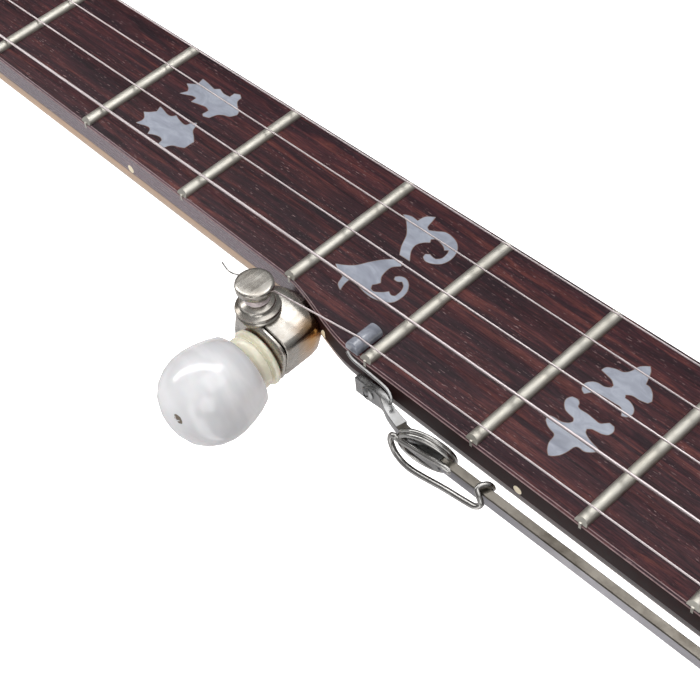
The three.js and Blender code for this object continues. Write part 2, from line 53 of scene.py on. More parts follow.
# ---------------------------------------------------------------- shader nodes
class Nodes:
    """Short ways to add shader nodes to one node tree."""

    def __init__(self, tree, space):
        self.tree = tree
        self.coords = tree.nodes.new("ShaderNodeTexCoord").outputs[space]

    def feed(self, socket, value):
        if isinstance(value, bpy.types.NodeSocket):
            self.tree.links.new(value, socket)
        else:
            socket.default_value = value

    def node(self, kind, inputs, **settings):
        node = self.tree.nodes.new("ShaderNode" + kind)
        for key, value in settings.items():
            setattr(node, key, value)
        for key, value in inputs.items():
            self.feed(node.inputs[key], value)
        return node

    def noise(self, scale, detail=4, roughness=0.5, distortion=0.0, turn=(0, 0, 0)):
        """Scale is one number, or a tuple that stretches the noise along each axis."""
        vector = self.coords
        if isinstance(scale, tuple):
            mapping = {"Vector": vector, "Scale": scale, "Rotation": turn}
            vector = self.node("Mapping", mapping).outputs[0]
            scale = 1.0
        inputs = {"Vector": vector, "Scale": scale, "Detail": detail}
        inputs |= {"Roughness": roughness, "Distortion": distortion}
        return self.node("TexNoise", inputs).outputs[0]

    def ramp(self, value, stops):
        """Stops are (position, grey level or linear colour)."""
        node = self.node("ValToRGB", {0: value})
        elements = node.color_ramp.elements
        while len(elements) < len(stops):
            elements.new(0.5)
        for element, (position, c) in zip(elements, stops):
            element.position = position
            element.color = (*c, 1) if isinstance(c, tuple) else (c, c, c, 1)
        return node.outputs[0]

    def mix(self, under, over, share, blend="MIX"):
        under, over = ((*c, 1) if isinstance(c, tuple) else c for c in (under, over))
        inputs = {0: share, 6: under, 7: over}
        return self.node("Mix", inputs, data_type="RGBA", blend_type=blend).outputs[2]

    def maths(self, operation, a, b):
        return self.node("Math", {0: a, 1: b}, operation=operation).outputs[0]

    def spread(self, value, low, high, to_low=0.0, to_high=1.0):
        inputs = {0: value, 1: low, 2: high, 3: to_low, 4: to_high}
        return self.node("MapRange", inputs).outputs[0]

    def axes(self):
        return self.node("SeparateXYZ", {0: self.coords}).outputs


class Material(Nodes):
    def __init__(self, name):
        self.data = bpy.data.materials.new(name)
        self.data.use_nodes = True
        super().__init__(self.data.node_tree, "Object")
        self.surface = self.tree.nodes["Principled BSDF"]

    def set(self, **inputs):
        for key, value in inputs.items():
            self.feed(self.surface.inputs[key.replace("_", " ")], value)
        return self

    def bump(self, height, strength, distance):
        inputs = {"Height": height, "Strength": strength, "Distance": distance}
        return self.set(Normal=self.node("Bump", inputs).outputs[0])


# ---------------------------------------------------------------- materials
# Colours are passed as sRGB 0-255 unless they come as node values.
def srgb(red, green, blue):
    """sRGB 0-255 to linear."""
    shares = (c / 255 for c in (red, green, blue))
    return tuple(c / 12.92 if c <= 0.04045 else ((c + 0.055) / 1.055) ** 2.4 for c in shares)


def rosewood(name, roughness=0.42, painted_sheen=0.0, specular=0.2):
    """Figure streaked along X, with dark pores and pale flecks; the sheen share fades it to grey as
    a painted sheen for the board's edges and walls.
    """
    m = Material(name)
    broad = m.noise((30, 520, 200), detail=7, roughness=0.72, distortion=0.9)
    browns = [(0.28, srgb(30, 14, 21)), (0.44, srgb(54, 27, 35)), (0.54, srgb(82, 40, 43))]
    browns += [(0.64, srgb(118, 62, 54)), (0.78, srgb(66, 36, 42))]
    colour = m.ramp(broad, browns)
    wide = m.noise((9, 70, 60), detail=3, distortion=0.6)
    tint = m.ramp(wide, [(0.36, srgb(168, 150, 170)), (0.62, (1.0, 0.97, 0.94))])
    colour = m.mix(colour, tint, share=0.6, blend="MULTIPLY")
    fine = m.noise((170, 3000, 1500), roughness=0.75, distortion=0.4)
    lines = m.ramp(fine, [(0.36, 0.30), (0.60, 1.0)])
    colour = m.mix(colour, lines, share=0.75, blend="MULTIPLY")
    pores = m.ramp(m.noise((360, 4200, 2500), detail=2), [(0.60, 0.0), (0.68, 1.0)])
    patches = m.noise((90, 260, 200), detail=2)
    flecks = m.noise((620, 3400, 2500), detail=2, turn=(0, 0, 0.03))
    flecks = m.ramp(flecks, [(0.63, 0.0), (0.70, 1.0)])
    flecks = m.maths("MULTIPLY", flecks, m.ramp(patches, [(0.40, 0.05), (0.7, 0.9)]))
    colour = m.mix(colour, srgb(20, 12, 16), share=m.maths("MULTIPLY", pores, 0.6))
    colour = m.mix(colour, srgb(158, 126, 120), share=flecks)
    # painted sheen: a lighter grey mixed into the wood's colour
    if painted_sheen:
        colour = m.mix(colour, srgb(140, 118, 124), share=painted_sheen)
    colour = m.mix(colour, (0.76, 0.80, 0.88), share=1.0, blend="MULTIPLY")
    gloss = m.ramp(fine, [(0.3, roughness + 0.14), (0.7, roughness)])
    m.set(Base_Color=colour, Roughness=gloss, Specular_IOR_Level=specular)
    height = m.mix(m.ramp(fine, [(0.2, 0.35), (0.8, 0.6)]), (0.0, 0.0, 0.0), share=pores)
    return m.bump(height, strength=0.4, distance=0.00012)


def lacquer_wood(name, dark, middle, light, roughness, scale=(9, 150, 150), coat=0.6):
    m = Material(name)
    figure = m.noise(scale, detail=5, roughness=0.6, distortion=0.5)
    stops = [(0.3, srgb(*dark)), (0.52, srgb(*middle)), (0.72, srgb(*light))]
    colour = m.ramp(figure, stops)
    fine = m.noise((40, 1500, 1500), detail=3, roughness=0.6)
    lines = m.ramp(fine, [(0.3, 0.55), (0.65, 1.0)])
    colour = m.mix(colour, lines, share=0.4, blend="MULTIPLY")
    gloss = m.ramp(fine, [(0.2, roughness + 0.1), (0.8, roughness)])
    m.set(Base_Color=colour, Roughness=gloss, Coat_Weight=coat, Coat_Roughness=0.06)
    return m.bump(fine, strength=0.05, distance=0.00008)


def burst_wood(name):
    """Dark lacquer beside the board that clears to amber wood round the back of the neck."""
    m = lacquer_wood(name, (30, 17, 15), (46, 26, 22), (70, 38, 26), roughness=0.3, coat=0.08)
    lacquer = m.surface.inputs["Base Color"].links[0].from_socket
    z = m.axes()["Z"]
    below = m.spread(z, low=0.0925, high=0.0885)
    x = m.axes()["X"]
    side = m.spread(z, low=0.0950, high=0.0944)
    side = m.maths("MULTIPLY", side, m.spread(x, low=-0.483, high=-0.488, to_high=0.95))
    clear = m.maths("MAXIMUM", below, side)
    figure = m.noise((16, 220, 220), roughness=0.6, distortion=0.3)
    ambers = [(0.3, srgb(116, 66, 26)), (0.55, srgb(176, 112, 50)), (0.75, srgb(206, 148, 80))]
    amber = m.ramp(figure, ambers)
    amber = m.mix(amber, srgb(214, 194, 168), share=m.maths("MULTIPLY", side, 0.55))
    share = m.ramp(clear, [(0.0, 0.0), (1.0, 0.85)])
    return m.set(Base_Color=m.mix(lacquer, amber, share=share))


def metal(name, colour, tarnish, roughness, wear, brushed=None):
    """Wear is the most tarnish that shows; brushed is the stretch of a brushed bump."""
    m = Material(name)
    patches = m.noise(160, detail=5, roughness=0.6)
    grain = m.noise(420, detail=3)
    share = m.ramp(patches, [(0.42, 0.0), (0.75, wear)])
    gloss = m.ramp(grain, [(0.3, roughness), (0.75, roughness + 0.13)])
    mixed = m.mix(srgb(*colour), srgb(*tarnish), share=share)
    m.set(Base_Color=mixed, Metallic=1.0, Roughness=gloss)
    if brushed:
        return m.bump(m.noise(brushed, detail=2), strength=0.12, distance=0.00005)
    return m.bump(grain, strength=0.06, distance=0.00005)


def worn_nickel_painted_reflection(name):
    """Brushed, yellowed nickel with tarnish patches, and a painted reflection of the neck's amber
    wood on the side that faces the neck.
    """
    m = Material(name)
    patches = m.noise(150, detail=5, roughness=0.65)
    share = m.ramp(patches, [(0.40, 0.0), (0.72, 0.75)])
    colour = m.mix(srgb(178, 174, 167), srgb(122, 110, 96), share=share)
    axes = m.axes()
    # painted reflection: an amber patch where the housing mirrors the neck's wood
    along = m.spread(axes["X"], low=-0.4935, high=-0.4905)
    across = m.spread(axes["Y"], low=-0.0275, high=-0.0235)
    painted_amber_reflection = m.maths("MULTIPLY", m.maths("MULTIPLY", along, across), 0.9)
    colour = m.mix(colour, srgb(190, 140, 72), share=painted_amber_reflection)
    brush = m.noise((1500, 90, 1500), detail=3, roughness=0.6)
    gloss = m.ramp(brush, [(0.3, 0.18), (0.7, 0.32)])
    m.set(Base_Color=colour, Metallic=1.0, Roughness=gloss)
    return m.bump(brush, strength=0.12, distance=0.00005)


def pearl(name, dark, middle, light, scale, roughness, coat, warp, subsurface=0.0):
    """Swirls of three shades, with broader swirls of two over them."""
    m = Material(name)
    dark, middle, light = srgb(*dark), srgb(*middle), srgb(*light)
    swirl = m.noise(scale, roughness=0.55, distortion=warp, turn=(0.2, 0.3, 0.5))
    broad_scale = tuple(c * 0.45 for c in scale)
    broad = m.noise(broad_scale, detail=2, distortion=warp * 1.6, turn=(0.9, 0.1, 1.2))
    colour = m.ramp(swirl, [(0.30, dark), (0.47, middle), (0.58, light), (0.75, middle)])
    colour = m.mix(colour, m.ramp(broad, [(0.35, dark), (0.6, light)]), share=0.35)
    m.set(Base_Color=colour, Roughness=roughness, Coat_Weight=coat, Coat_Roughness=0.07)
    m.set(Specular_IOR_Level=0.6)
    if subsurface:
        m.set(Subsurface_Weight=subsurface, Subsurface_Scale=0.004)
    return m


def plain(name, colour, roughness, coat=0.0, spots=400, amount=0.12, bump=0.1, subsurface=0.0):
    """One colour, darkened by amount in spots; spots is their noise scale."""
    m = Material(name)
    colour = srgb(*colour)
    noise = m.noise(spots, roughness=0.6)
    share = m.ramp(noise, [(0.35, 0.0), (0.7, 1.0)])
    mixed = m.mix(tuple(c * (1 - amount) for c in colour), colour, share=share)
    gloss = m.ramp(noise, [(0.3, roughness), (0.7, roughness + 0.08)])
    m.set(Base_Color=mixed, Roughness=gloss, Coat_Weight=coat)
    if subsurface:
        m.set(Subsurface_Weight=subsurface, Subsurface_Scale=0.003)
    return m.bump(noise, strength=bump, distance=0.00006)


# Finish: (material, the frame slot it stands for)
FINISHES = {
    "board": (rosewood("rosewood"), "board_wood"),
    # board_edge, board_side and board_bevel are lightened copies of the rosewood: a painted sheen on
    # the edges, walls and chamfers
    "board_edge": (rosewood("rosewood_edge", roughness=0.16, painted_sheen=0.35, specular=0.8), "board_wood"),
    "board_side": (rosewood("rosewood_side", roughness=0.2, painted_sheen=0.5, specular=0.8), "board_wood"),
    "board_bevel": (
        rosewood("rosewood_bevel", roughness=0.25, painted_sheen=0.06, specular=0.45), "board_wood"),
    # edge_line: painted glints, thin lighter strips along the chamfer's edges
    "edge_line": (plain("painted_edge_glint", (146, 122, 122), roughness=0.3, spots=700, amount=0.35,
                        bump=0.05), "board_wood"),
    # rail_side and rail_top: one steel in two shades by face direction, painted light and shade
    "rail_side": (metal("rail_side", (142, 140, 144), tarnish=(112, 108, 106), roughness=0.3,
                        wear=0.4), "aged_steel"),
    "rail_top": (metal("rail_top", (124, 119, 111), tarnish=(66, 60, 53), roughness=0.3,
                       wear=0.85, brushed=(40, 500, 500)), "aged_steel"),
    "board_dark": (plain("rosewood_side_dark", (42, 19, 19), roughness=0.45, spots=900,
                         amount=0.4, bump=0.05).set(Specular_IOR_Level=0.1), "board_wood"),
    "neck": (burst_wood("neck_lacquer"), "neck_wood"),
    "resonator": (lacquer_wood("resonator_lacquer", (44, 20, 14), (84, 38, 22), (128, 66, 34),
                               roughness=0.12, scale=(14, 60, 60), coat=1.0), "resonator_wood"),
    "rim": (lacquer_wood("rim_lacquer", (60, 30, 18), (96, 52, 30), (140, 84, 50),
                         roughness=0.25, scale=(30, 30, 300)), "neck_wood"),
    "maple": (lacquer_wood("bridge_maple", (176, 128, 78), (206, 160, 106), (226, 188, 138),
                           roughness=0.42, scale=(80, 20, 260), coat=0.0), "bridge_wood"),
    "ebony": (plain("ebony", (22, 19, 19), roughness=0.35, spots=900, amount=0.5),
              "black_lacquer"),
    "black": (plain("black_lacquer", (12, 11, 12), roughness=0.08, coat=1.0, spots=300,
                    amount=0.3, bump=0.02), "black_lacquer"),
    "nickel": (metal("nickel", (196, 191, 184), tarnish=(132, 118, 100), roughness=0.14,
                     wear=0.45), "nickel"),
    "nickel_worn": (worn_nickel_painted_reflection("worn_nickel_painted_reflection"), "nickel"),
    "bright": (metal("nickel_bright", (208, 204, 197), tarnish=(160, 150, 136),
                     roughness=0.11, wear=0.15), "nickel"),
    "fret": (metal("fret_wire", (192, 189, 180), tarnish=(168, 160, 144), roughness=0.42,
                   wear=0.4), "fret_wire"),
    "string": (metal("string_steel", (224, 213, 213), tarnish=(170, 160, 156),
                     roughness=0.34, wear=0.15), "string_steel"),
    "aged": (metal("aged_steel", (142, 142, 142), tarnish=(96, 90, 82), roughness=0.24,
                   wear=0.6), "aged_steel"),
    "wire": (metal("capo_wire", (166, 164, 161), tarnish=(88, 84, 80), roughness=0.16,
                   wear=0.5), "aged_steel"),
    "button": (pearl("button_pearloid", (178, 178, 181), (208, 208, 210), (232, 231, 232),
                     scale=(26, 60, 40), roughness=0.3, coat=1.0, warp=0.6, subsurface=0.1),
               "pearl_plastic"),
    "collar": (plain("cream_collar", (226, 221, 200), roughness=0.22, coat=0.6, spots=500,
                     amount=0.08, bump=0.03, subsurface=0.2), "bone"),
    "inlay": (pearl("inlay_pearl", (124, 128, 140), (138, 142, 154), (153, 158, 169),
                    scale=(160, 320, 200), roughness=0.2, coat=0.5, warp=1.2), "pearl_grey"),
    "filler": (plain("inlay_filler", (112, 88, 76), roughness=0.4), "board_wood"),
    "grey_pearl": (pearl("grey_pearloid", (94, 98, 108), (115, 118, 129), (138, 142, 152),
                         scale=(220, 420, 300), roughness=0.2, coat=0.6, warp=1.0),
                   "pearl_grey"),
    "bone": (plain("bone", (232, 222, 196), roughness=0.35, coat=0.1, spots=350, amount=0.1,
                   bump=0.05, subsurface=0.1), "bone"),
    "dot": (plain("side_dot", (236, 222, 192), roughness=0.35), "bone"),
    "head": (plain("frosted_head", (240, 238, 232), roughness=0.75, spots=2600, amount=0.06,
                   bump=0.5, subsurface=0.05), "head_film"),
    "ivoroid": (plain("ivoroid_binding", (234, 222, 190), roughness=0.25, coat=0.4, spots=700,
                      amount=0.1, bump=0.02), "bone"),
    "blemish": (plain("blemish", (104, 92, 78), roughness=0.5), "nickel"),
}
# spare finishes that no piece wears
plain("head_collar", (226, 226, 222), roughness=0.4)
plain("recess", (30, 27, 25), roughness=0.6)


# ---------------------------------------------------------------- places and paths
def move(x, y, z):
    return Matrix.Translation((x, y, z))


def turn(axis, degrees):
    return Matrix.Rotation(radians(degrees), 4, axis)


NUT = move(NUT_X, 0, BOARD_Z)  # nut frame to the main frame


def from_nut(x, y, z):
    return Vector((x + NUT_X, y, z + BOARD_Z))


def nut_path(points):
    return [from_nut(*p) for p in points]


def polar(radius, degrees):
    return (radius * cos(radians(degrees)), radius * sin(radians(degrees)))


def circle(radius, count, x=0, y=0, start=0):
    """Start is a share of one step."""
    angles = [2 * pi * (k + start) / count for k in range(count)]
    return [(x + radius * cos(a), y + radius * sin(a)) for a in angles]


def steps(first, last, step):
    """Even steps from first to last, both included, as near to step as fits."""
    count = max(1, round((last - first) / step))
    return [first + (last - first) * i / count for i in range(count + 1)]


def ease(t):
    t = min(1, max(0, t))
    return t * t * (3 - 2 * t)


def spline_point(p0, p1, p2, p3, t):
    """Catmull-Rom point between p1 and p2."""
    quadratic = (2 * p0 - 5 * p1 + 4 * p2 - p3) * t * t
    return 0.5 * ((2 * p1) + (p2 - p0) * t + quadratic + (3 * p1 - p0 - 3 * p2 + p3) * t**3)


def spline(points, per=6):
    P = [Vector(p) for p in points]
    out = []
    for i in range(len(P) - 1):
        around = P[max(i - 1, 0)], P[i], P[i + 1], P[min(i + 2, len(P) - 1)]
        out += [spline_point(*around, k / per) for k in range(per)]
    return out + [P[-1]]


def smooth_closed(points, per=4, sharp=50):
    """Closed outline rounded by a spline, keeping corners sharper than the given angle."""
    P = [Vector((*p, 0)) for p in points]
    count = len(P)
    out = []
    for i in range(count):
        p0, p1, p2, p3 = P[i - 1], P[i], P[(i + 1) % count], P[(i + 2) % count]
        if (p1 - p0).angle(p2 - p1, 0) > radians(sharp):
            p0 = p1
        if (p2 - p1).angle(p3 - p2, 0) > radians(sharp):
            p3 = p2
        out += [spline_point(p0, p1, p2, p3, k / per).xy.to_tuple() for k in range(per)]
    return out


def mirrored(half):
    """Closes a half outline that starts and ends on the X axis."""
    return half + [(x, -y) for x, y in reversed(half[1:-1])]


def grow(points, distance):
    """Offsets a closed outline outwards."""
    area = sum(a[0] * b[1] - b[0] * a[1] for a, b in zip(points, points[1:] + points[:1]))
    out = []
    for i in range(len(points)):
        x, y = points[i]
        along = Vector(points[(i + 1) % len(points)]) - Vector(points[i - 1])
        along.normalize()
        normal = Vector((along.y, -along.x)) * (1 if area > 0 else -1)
        out.append((x + normal.x * distance, y + normal.y * distance))
    return out


def helix(x, y, z, radius, drop, count, start=0.0):
    """Points 20 to a turn, falling by drop on each turn."""
    turns = [(k / 20, start + 2 * pi * k / 20) for k in range(count)]
    return [(x + radius * cos(a), y + radius * sin(a), z - share * drop) for share, a in turns]


# ---------------------------------------------------------------- solids (bmeshes in mm)
def loft(rings, strip_slots=None):
    """Skins equal rings and caps the ends; strip_slots gives each side's material index."""
    bm = bmesh.new()
    rows = [[bm.verts.new(p) for p in ring] for ring in rings]
    count = len(rings[0])
    for a, b in zip(rows, rows[1:]):
        for j in range(count):
            k = (j + 1) % count
            face = bm.faces.new([a[j], a[k], b[k], b[j]])
            if strip_slots:
                face.material_index = strip_slots[j]
    bm.faces.new(rows[0])
    bm.faces.new(list(reversed(rows[-1])))
    return bm


def lathe(profile, count):
    """Turns (radius, z) points about Z; on the axis at both ends, or closed on itself."""
    bm = bmesh.new()
    closed = profile[0][0] > 1e-6
    points = profile[:-1] if closed and profile[0] == profile[-1] else profile
    rows = []
    for radius, z in points:
        ring = [(0, 0)] if radius < 1e-6 else circle(radius, count)
        rows.append([bm.verts.new((x, y, z)) for x, y in ring])
    for a, b in list(zip(rows, rows[1:])) + ([(rows[-1], rows[0])] if closed else []):
        for j in range(count):
            k = (j + 1) % count
            if len(a) == 1:
                bm.faces.new([a[0], b[k], b[j]])
            elif len(b) == 1:
                bm.faces.new([a[j], a[k], b[0]])
            else:
                bm.faces.new([a[j], a[k], b[k], b[j]])
    return bm


def sweep(path, section, up=(0, 0, 1)):
    """section(i, share of path) gives (side, up) offsets; the up direction is carried along."""
    P = [Vector(p) for p in path]
    up = Vector(up)
    rings = []
    for i, p in enumerate(P):
        along = (P[min(i + 1, len(P) - 1)] - P[max(i - 1, 0)]).normalized()
        up = (up - along * up.dot(along)).normalized()
        side = along.cross(up)
        rings.append([p + side * a + up * b for a, b in section(i, i / (len(P) - 1))])
    return loft(rings)


def wire(path, radius, sides):
    """Round wire with rounded ends."""
    P = [Vector(p) for p in path]
    back, ahead = (P[0] - P[1]).normalized(), (P[-1] - P[-2]).normalized()
    P = [P[0] + back * radius * k for k in (0.95, 0.6)] + P
    P += [P[-1] + ahead * radius * k for k in (0.6, 0.95)]
    narrowing = {0: 0.3, 1: 0.8, len(P) - 2: 0.8, len(P) - 1: 0.3}
    return sweep(P, lambda i, t: circle(radius * narrowing.get(i, 1), sides))


def prism(outline, z0, z1):
    """A simple outline extruded in Z, with triangulated caps."""
    bm = bmesh.new()
    low = [bm.verts.new((x, y, z0)) for x, y in outline]
    high = [bm.verts.new((x, y, z1)) for x, y in outline]
    for i in range(len(outline)):
        j = (i + 1) % len(outline)
        bm.faces.new([low[i], low[j], high[j], high[i]])
    for triangle in tessellate_polygon([[Vector((x, y, 0)) for x, y in outline]]):
        bm.faces.new([high[k] for k in triangle])
        bm.faces.new([low[k] for k in reversed(triangle)])
    return bm


def box(x0, x1, y0, y1, z0, z1, bm=None):
    bm = bm or bmesh.new()
    for v in bmesh.ops.create_cube(bm, size=1)["verts"]:
        v.co = Vector((
            (x0 + x1) / 2 + v.co.x * (x1 - x0),
            (y0 + y1) / 2 + v.co.y * (y1 - y0),
            (z0 + z1) / 2 + v.co.z * (z1 - z0),
        ))
    return bm


def pierced(outer, holes, z0, z1, bevel, resolution=1):
    """An outline with holes, extruded with rounded edges by way of a 2-D curve."""
    curve = bpy.data.curves.new("pierced", "CURVE")
    curve.dimensions = "2D"
    curve.fill_mode = "BOTH"
    for ring in [outer] + holes:
        line = curve.splines.new("POLY")
        line.points.add(len(ring) - 1)
        for p, (x, y) in zip(line.points, ring):
            p.co = (x, y, 0, 1)
        line.use_cyclic_u = True
    curve.extrude = (z1 - z0) / 2 - bevel
    curve.bevel_depth = bevel
    curve.bevel_resolution = resolution
    curve.offset = -bevel
    obj = bpy.data.objects.new("pierced", curve)
    bpy.context.scene.collection.objects.link(obj)
    bm = evaluated_bmesh(obj)
    bmesh.ops.translate(bm, vec=(0, 0, (z0 + z1) / 2), verts=bm.verts)
    bmesh.ops.remove_doubles(bm, verts=bm.verts, dist=1e-3)
    bpy.data.objects.remove(obj)
    bpy.data.curves.remove(curve)
    for face in bm.faces:  # everything wears the first slot
        face.material_index = 0
    return bm


def evaluated_bmesh(obj):
    depsgraph = bpy.context.evaluated_depsgraph_get()
    mesh = bpy.data.meshes.new_from_object(obj.evaluated_get(depsgraph))
    bm = bmesh.new()
    bm.from_mesh(mesh)
    bpy.data.meshes.remove(mesh)
    return bm


def boolean(solid, tool, operation="DIFFERENCE"):
    """Exact boolean of two bmeshes; both are used up."""
    objects = []
    for bm in (solid, tool):
        bmesh.ops.recalc_face_normals(bm, faces=bm.faces)
        mesh = bpy.data.meshes.new("operand")
        bm.to_mesh(mesh)
        bm.free()
        obj = bpy.data.objects.new("operand", mesh)
        bpy.context.scene.collection.objects.link(obj)
        objects.append(obj)
    modifier = objects[0].modifiers.new("boolean", "BOOLEAN")
    modifier.operation, modifier.object, modifier.solver = operation, objects[1], "EXACT"
    out = evaluated_bmesh(objects[0])
    for obj in objects:
        mesh = obj.data
        bpy.data.objects.remove(obj)
        bpy.data.meshes.remove(mesh)
    return out


def arc_sweep(profile, start, end, step=2.5):
    """Sweeps (radius, z) points about Z between two angles in degrees."""
    return loft([[Vector((*polar(r, a), z)) for r, z in profile] for a in steps(start, end, step)])


def screw(scale):
    """Cross-slotted domed screw along Z, its head's underside at z = 0."""
    profile = [(0, -3), (0.9, -3), (0.9, 0), (2.1, 0.05), (2.1, 0.35), (1.6, 0.8), (0.8, 1.05),
               (0, 1.1)]
    bm = lathe([(r * scale, z * scale) for r, z in profile], 24)
    for k in (0, 1):
        slot = box(-1.2 * scale, 1.2 * scale, -0.22 * scale, 0.22 * scale, 0.55 * scale, 3 * scale)
        spin = Matrix.Rotation(k * pi / 2 + 0.5, 3, "Z")
        bmesh.ops.rotate(slot, cent=(0, 0, 0), matrix=spin, verts=slot.verts)
        bm = boolean(bm, slot)
    return bm


def piece(name, bm, finish, replaces=None, body=BODY, place=None, bevel=0.0,
          bevel_segments=2, angle=32):
    """Turns a bmesh into an object and tells the frame what it rides and replaces.

    finish is a FINISHES key, or a list of them for the mesh's material slots in order.
    """
    finishes = [finish] if isinstance(finish, str) else finish
    bmesh.ops.remove_doubles(bm, verts=bm.verts, dist=1e-4)
    if place is not None:
        bmesh.ops.transform(bm, matrix=place, verts=bm.verts)
    bmesh.ops.scale(bm, vec=(0.001,) * 3, verts=bm.verts)
    bmesh.ops.recalc_face_normals(bm, faces=bm.faces)
    mesh = bpy.data.meshes.new(name)
    bm.to_mesh(mesh)
    bm.free()
    for key in finishes:
        mesh.materials.append(FINISHES[key][0].data)
    mesh.shade_smooth()
    mesh.set_sharp_from_angle(angle=radians(angle))
    obj = bpy.data.objects.new(name, mesh)
    bpy.context.scene.collection.objects.link(obj)
    if bevel:
        edge = obj.modifiers.new("edge", "BEVEL")
        edge.width = bevel / 1000
        edge.segments = bevel_segments
        edge.limit_method = "ANGLE"
        edge.angle_limit = radians(40)
        edge.harden_normals = True
    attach(obj, body)
    if replaces:
        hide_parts(replaces)


# ---------------------------------------------------------------- neck outline, nut frame
def fret_x(n):
    return SCALE_LENGTH * (1 - 2 ** (-n / 12)) + (2.8 if n == 4 else 0)


def fret_middle(n):
    return (fret_x(n - 1) + fret_x(n)) / 2


def treble(x):
    """Half width on the +Y side."""
    return 15.2 + 0.0186 * x


def bass(x):
    """Half width on the -Y side, which widens at the fifth-string peg."""
    narrow, wide = 15.2 + 0.0186 * x, 21.56 + 0.0092 * x
    return narrow + (wide - narrow) * ease((x - 138) / 26)


# ---------------------------------------------------------------- fingerboard
# (inset, drop) shares of each edge's size
BASS_CHAMFER = [(0.0, 1.0), (0.25, 0.68), (0.68, 0.25), (0.88, 0.05), (1.0, 0.0)]
TREBLE_ROUND = [(1 - sin(t), 1 - cos(t)) for t in (0, 0.4, 0.8, 1.2, pi / 2)]
TREBLE_SIZE = 0.42
BOARD_FINISHES = ["board", "board_edge", "board_side", "board_dark", "board_bevel", "edge_line"]
# per side of the section: -Y wall, chamfer between its edge lines, top, rounding, wall, underside;
# walls, chamfer and rounding wear the painted-sheen copies of the rosewood, the edge lines a painted
# glint
BOARD_STRIPS = [2, 5, 1, 5, 0, 0, 1, 1, 1, 1, 2, 0]
rings = []
for x in steps(0, 136, 17) + steps(138, 166, 2) + steps(180, 490, 31):
    a, b = treble(x) + 0.4, bass(x)
    size = 0.52 + 0.1 * ease((x - 140) / 26)
    rings.append(nut_path(
        [(x, -b, -5)]
        + [(x, -b + inset * size, -drop * size) for inset, drop in BASS_CHAMFER]
        + [(x, a - inset * TREBLE_SIZE, -drop * TREBLE_SIZE) for inset, drop in TREBLE_ROUND]
        + [(x, a, -5)]))
board = loft(rings, BOARD_STRIPS)
for face in board.faces:  # beyond the fifth-string peg the walls take a plain darker rosewood and the chamfers a copy with less painted sheen
    if face.calc_center_median().x > NUT_X + 146:
        face.material_index = {2: 3, 1: 4}.get(face.material_index, face.material_index)
piece("fingerboard_wood", board, BOARD_FINISHES, "fingerboard")

# frets: domed wire with sloped ends, and a tang that shows at the board's edges
half_crown = [(1.42, 0.02), (1.4, 0.32), (1.24, 0.68), (0.92, 0.98), (0.48, 1.17)]  # (x, z)
crown = half_crown + [(0.0, 1.23)] + [(-x, z) for x, z in reversed(half_crown)]
for n in range(1, FRETS + 1):
    x = fret_x(n)
    y0, y1 = -bass(x), treble(x)
    ends = ((y0, 1), (y0 + 0.5, 1), (y1 - 0.5, -1), (y1, -1))  # (y, direction of the slope)
    bm = loft([nut_path((x + a, y + sign * (0.12 + z * 0.55), z) for a, z in crown)
               for y, sign in ends])
    box(x - 0.28 + NUT_X, x + 0.28 + NUT_X, y0 - 0.04, y1 + 0.04, BOARD_Z - 1.3, BOARD_Z + 0.3, bm)
    piece(f"fret_{n:02d}", bm, "fret", "frets", angle=40)


# ---------------------------------------------------------------- neck, heel and peghead
def neck_ring(x, count=26):
    """Half-round section that deepens into the heel."""
    clamped = max(x, 0)
    a, b = treble(clamped) - 0.05, bass(clamped) - 0.05
    centre, half = (a - b) / 2, (a + b) / 2
    depth = 13.6 + 0.014 * clamped + 36 * ease((clamped - 430) / 46) ** 1.5
    power = 1.06 + 0.14 * ease((clamped - 118) / 40)
    out = []
    for i in range(count + 1):
        c, s = cos(pi * i / count), sin(pi * i / count)
        y = centre - half * copysign(abs(c) ** power, c)
        out.append(from_nut(x, y, -5.02 - depth * max(s, 0) ** power))
    return out


stations = [-5, 0] + steps(15, 135, 15) + steps(138, 166, 2) + steps(180, 420, 30)
stations += steps(428, 489, 3.4)
neck = loft([neck_ring(x) for x in stations])
PEGHEAD = move(NUT_X, 0, BOARD_Z - 1.5) @ turn("Y", -13)  # its frame has -x away from the nut
# (distance from the nut, half width, 0)
PEGHEAD_HALF = [
    (0, 15.3, 0), (12, 17.5, 0), (26, 27, 0), (45, 33.5, 0), (62, 33, 0), (80, 29, 0),
    (98, 30.5, 0), (116, 36, 0), (132, 38, 0), (146, 35, 0), (157, 27, 0), (162, 16, 0),
    (158, 6, 0), (155, 0, 0),
]
TUNERS = {4: (46, -21), 3: (112, -23), 2: (112, 23), 1: (46, 21)}  # string: (from nut, y)
half = spline(PEGHEAD_HALF, 5)
peghead_outline = [(-p.x, -p.y) for p in reversed(half)] + [(-p.x, p.y) for p in half[:-1]]
peghead = prism(peghead_outline, -15, -2.2)
bmesh.ops.transform(peghead, matrix=PEGHEAD, verts=peghead.verts)
neck = boolean(neck, peghead, "UNION")
tongue = box(488 + NUT_X, 500 + NUT_X, -23.5, 23.5, 39, 85.2)
neck = boolean(neck, tongue, "UNION")
neck = boolean(neck, prism(circle(140.2, 160), 20, 96))  # clears the pot
above_board_joint = box(-8.3 + NUT_X, 520 + NUT_X, -60, 60, BOARD_Z - 5.02, BOARD_Z + 30)
neck = boolean(neck, above_board_joint)
piece("neck_wood", neck, "neck", "neck", bevel=0.8, bevel_segments=3, angle=38)

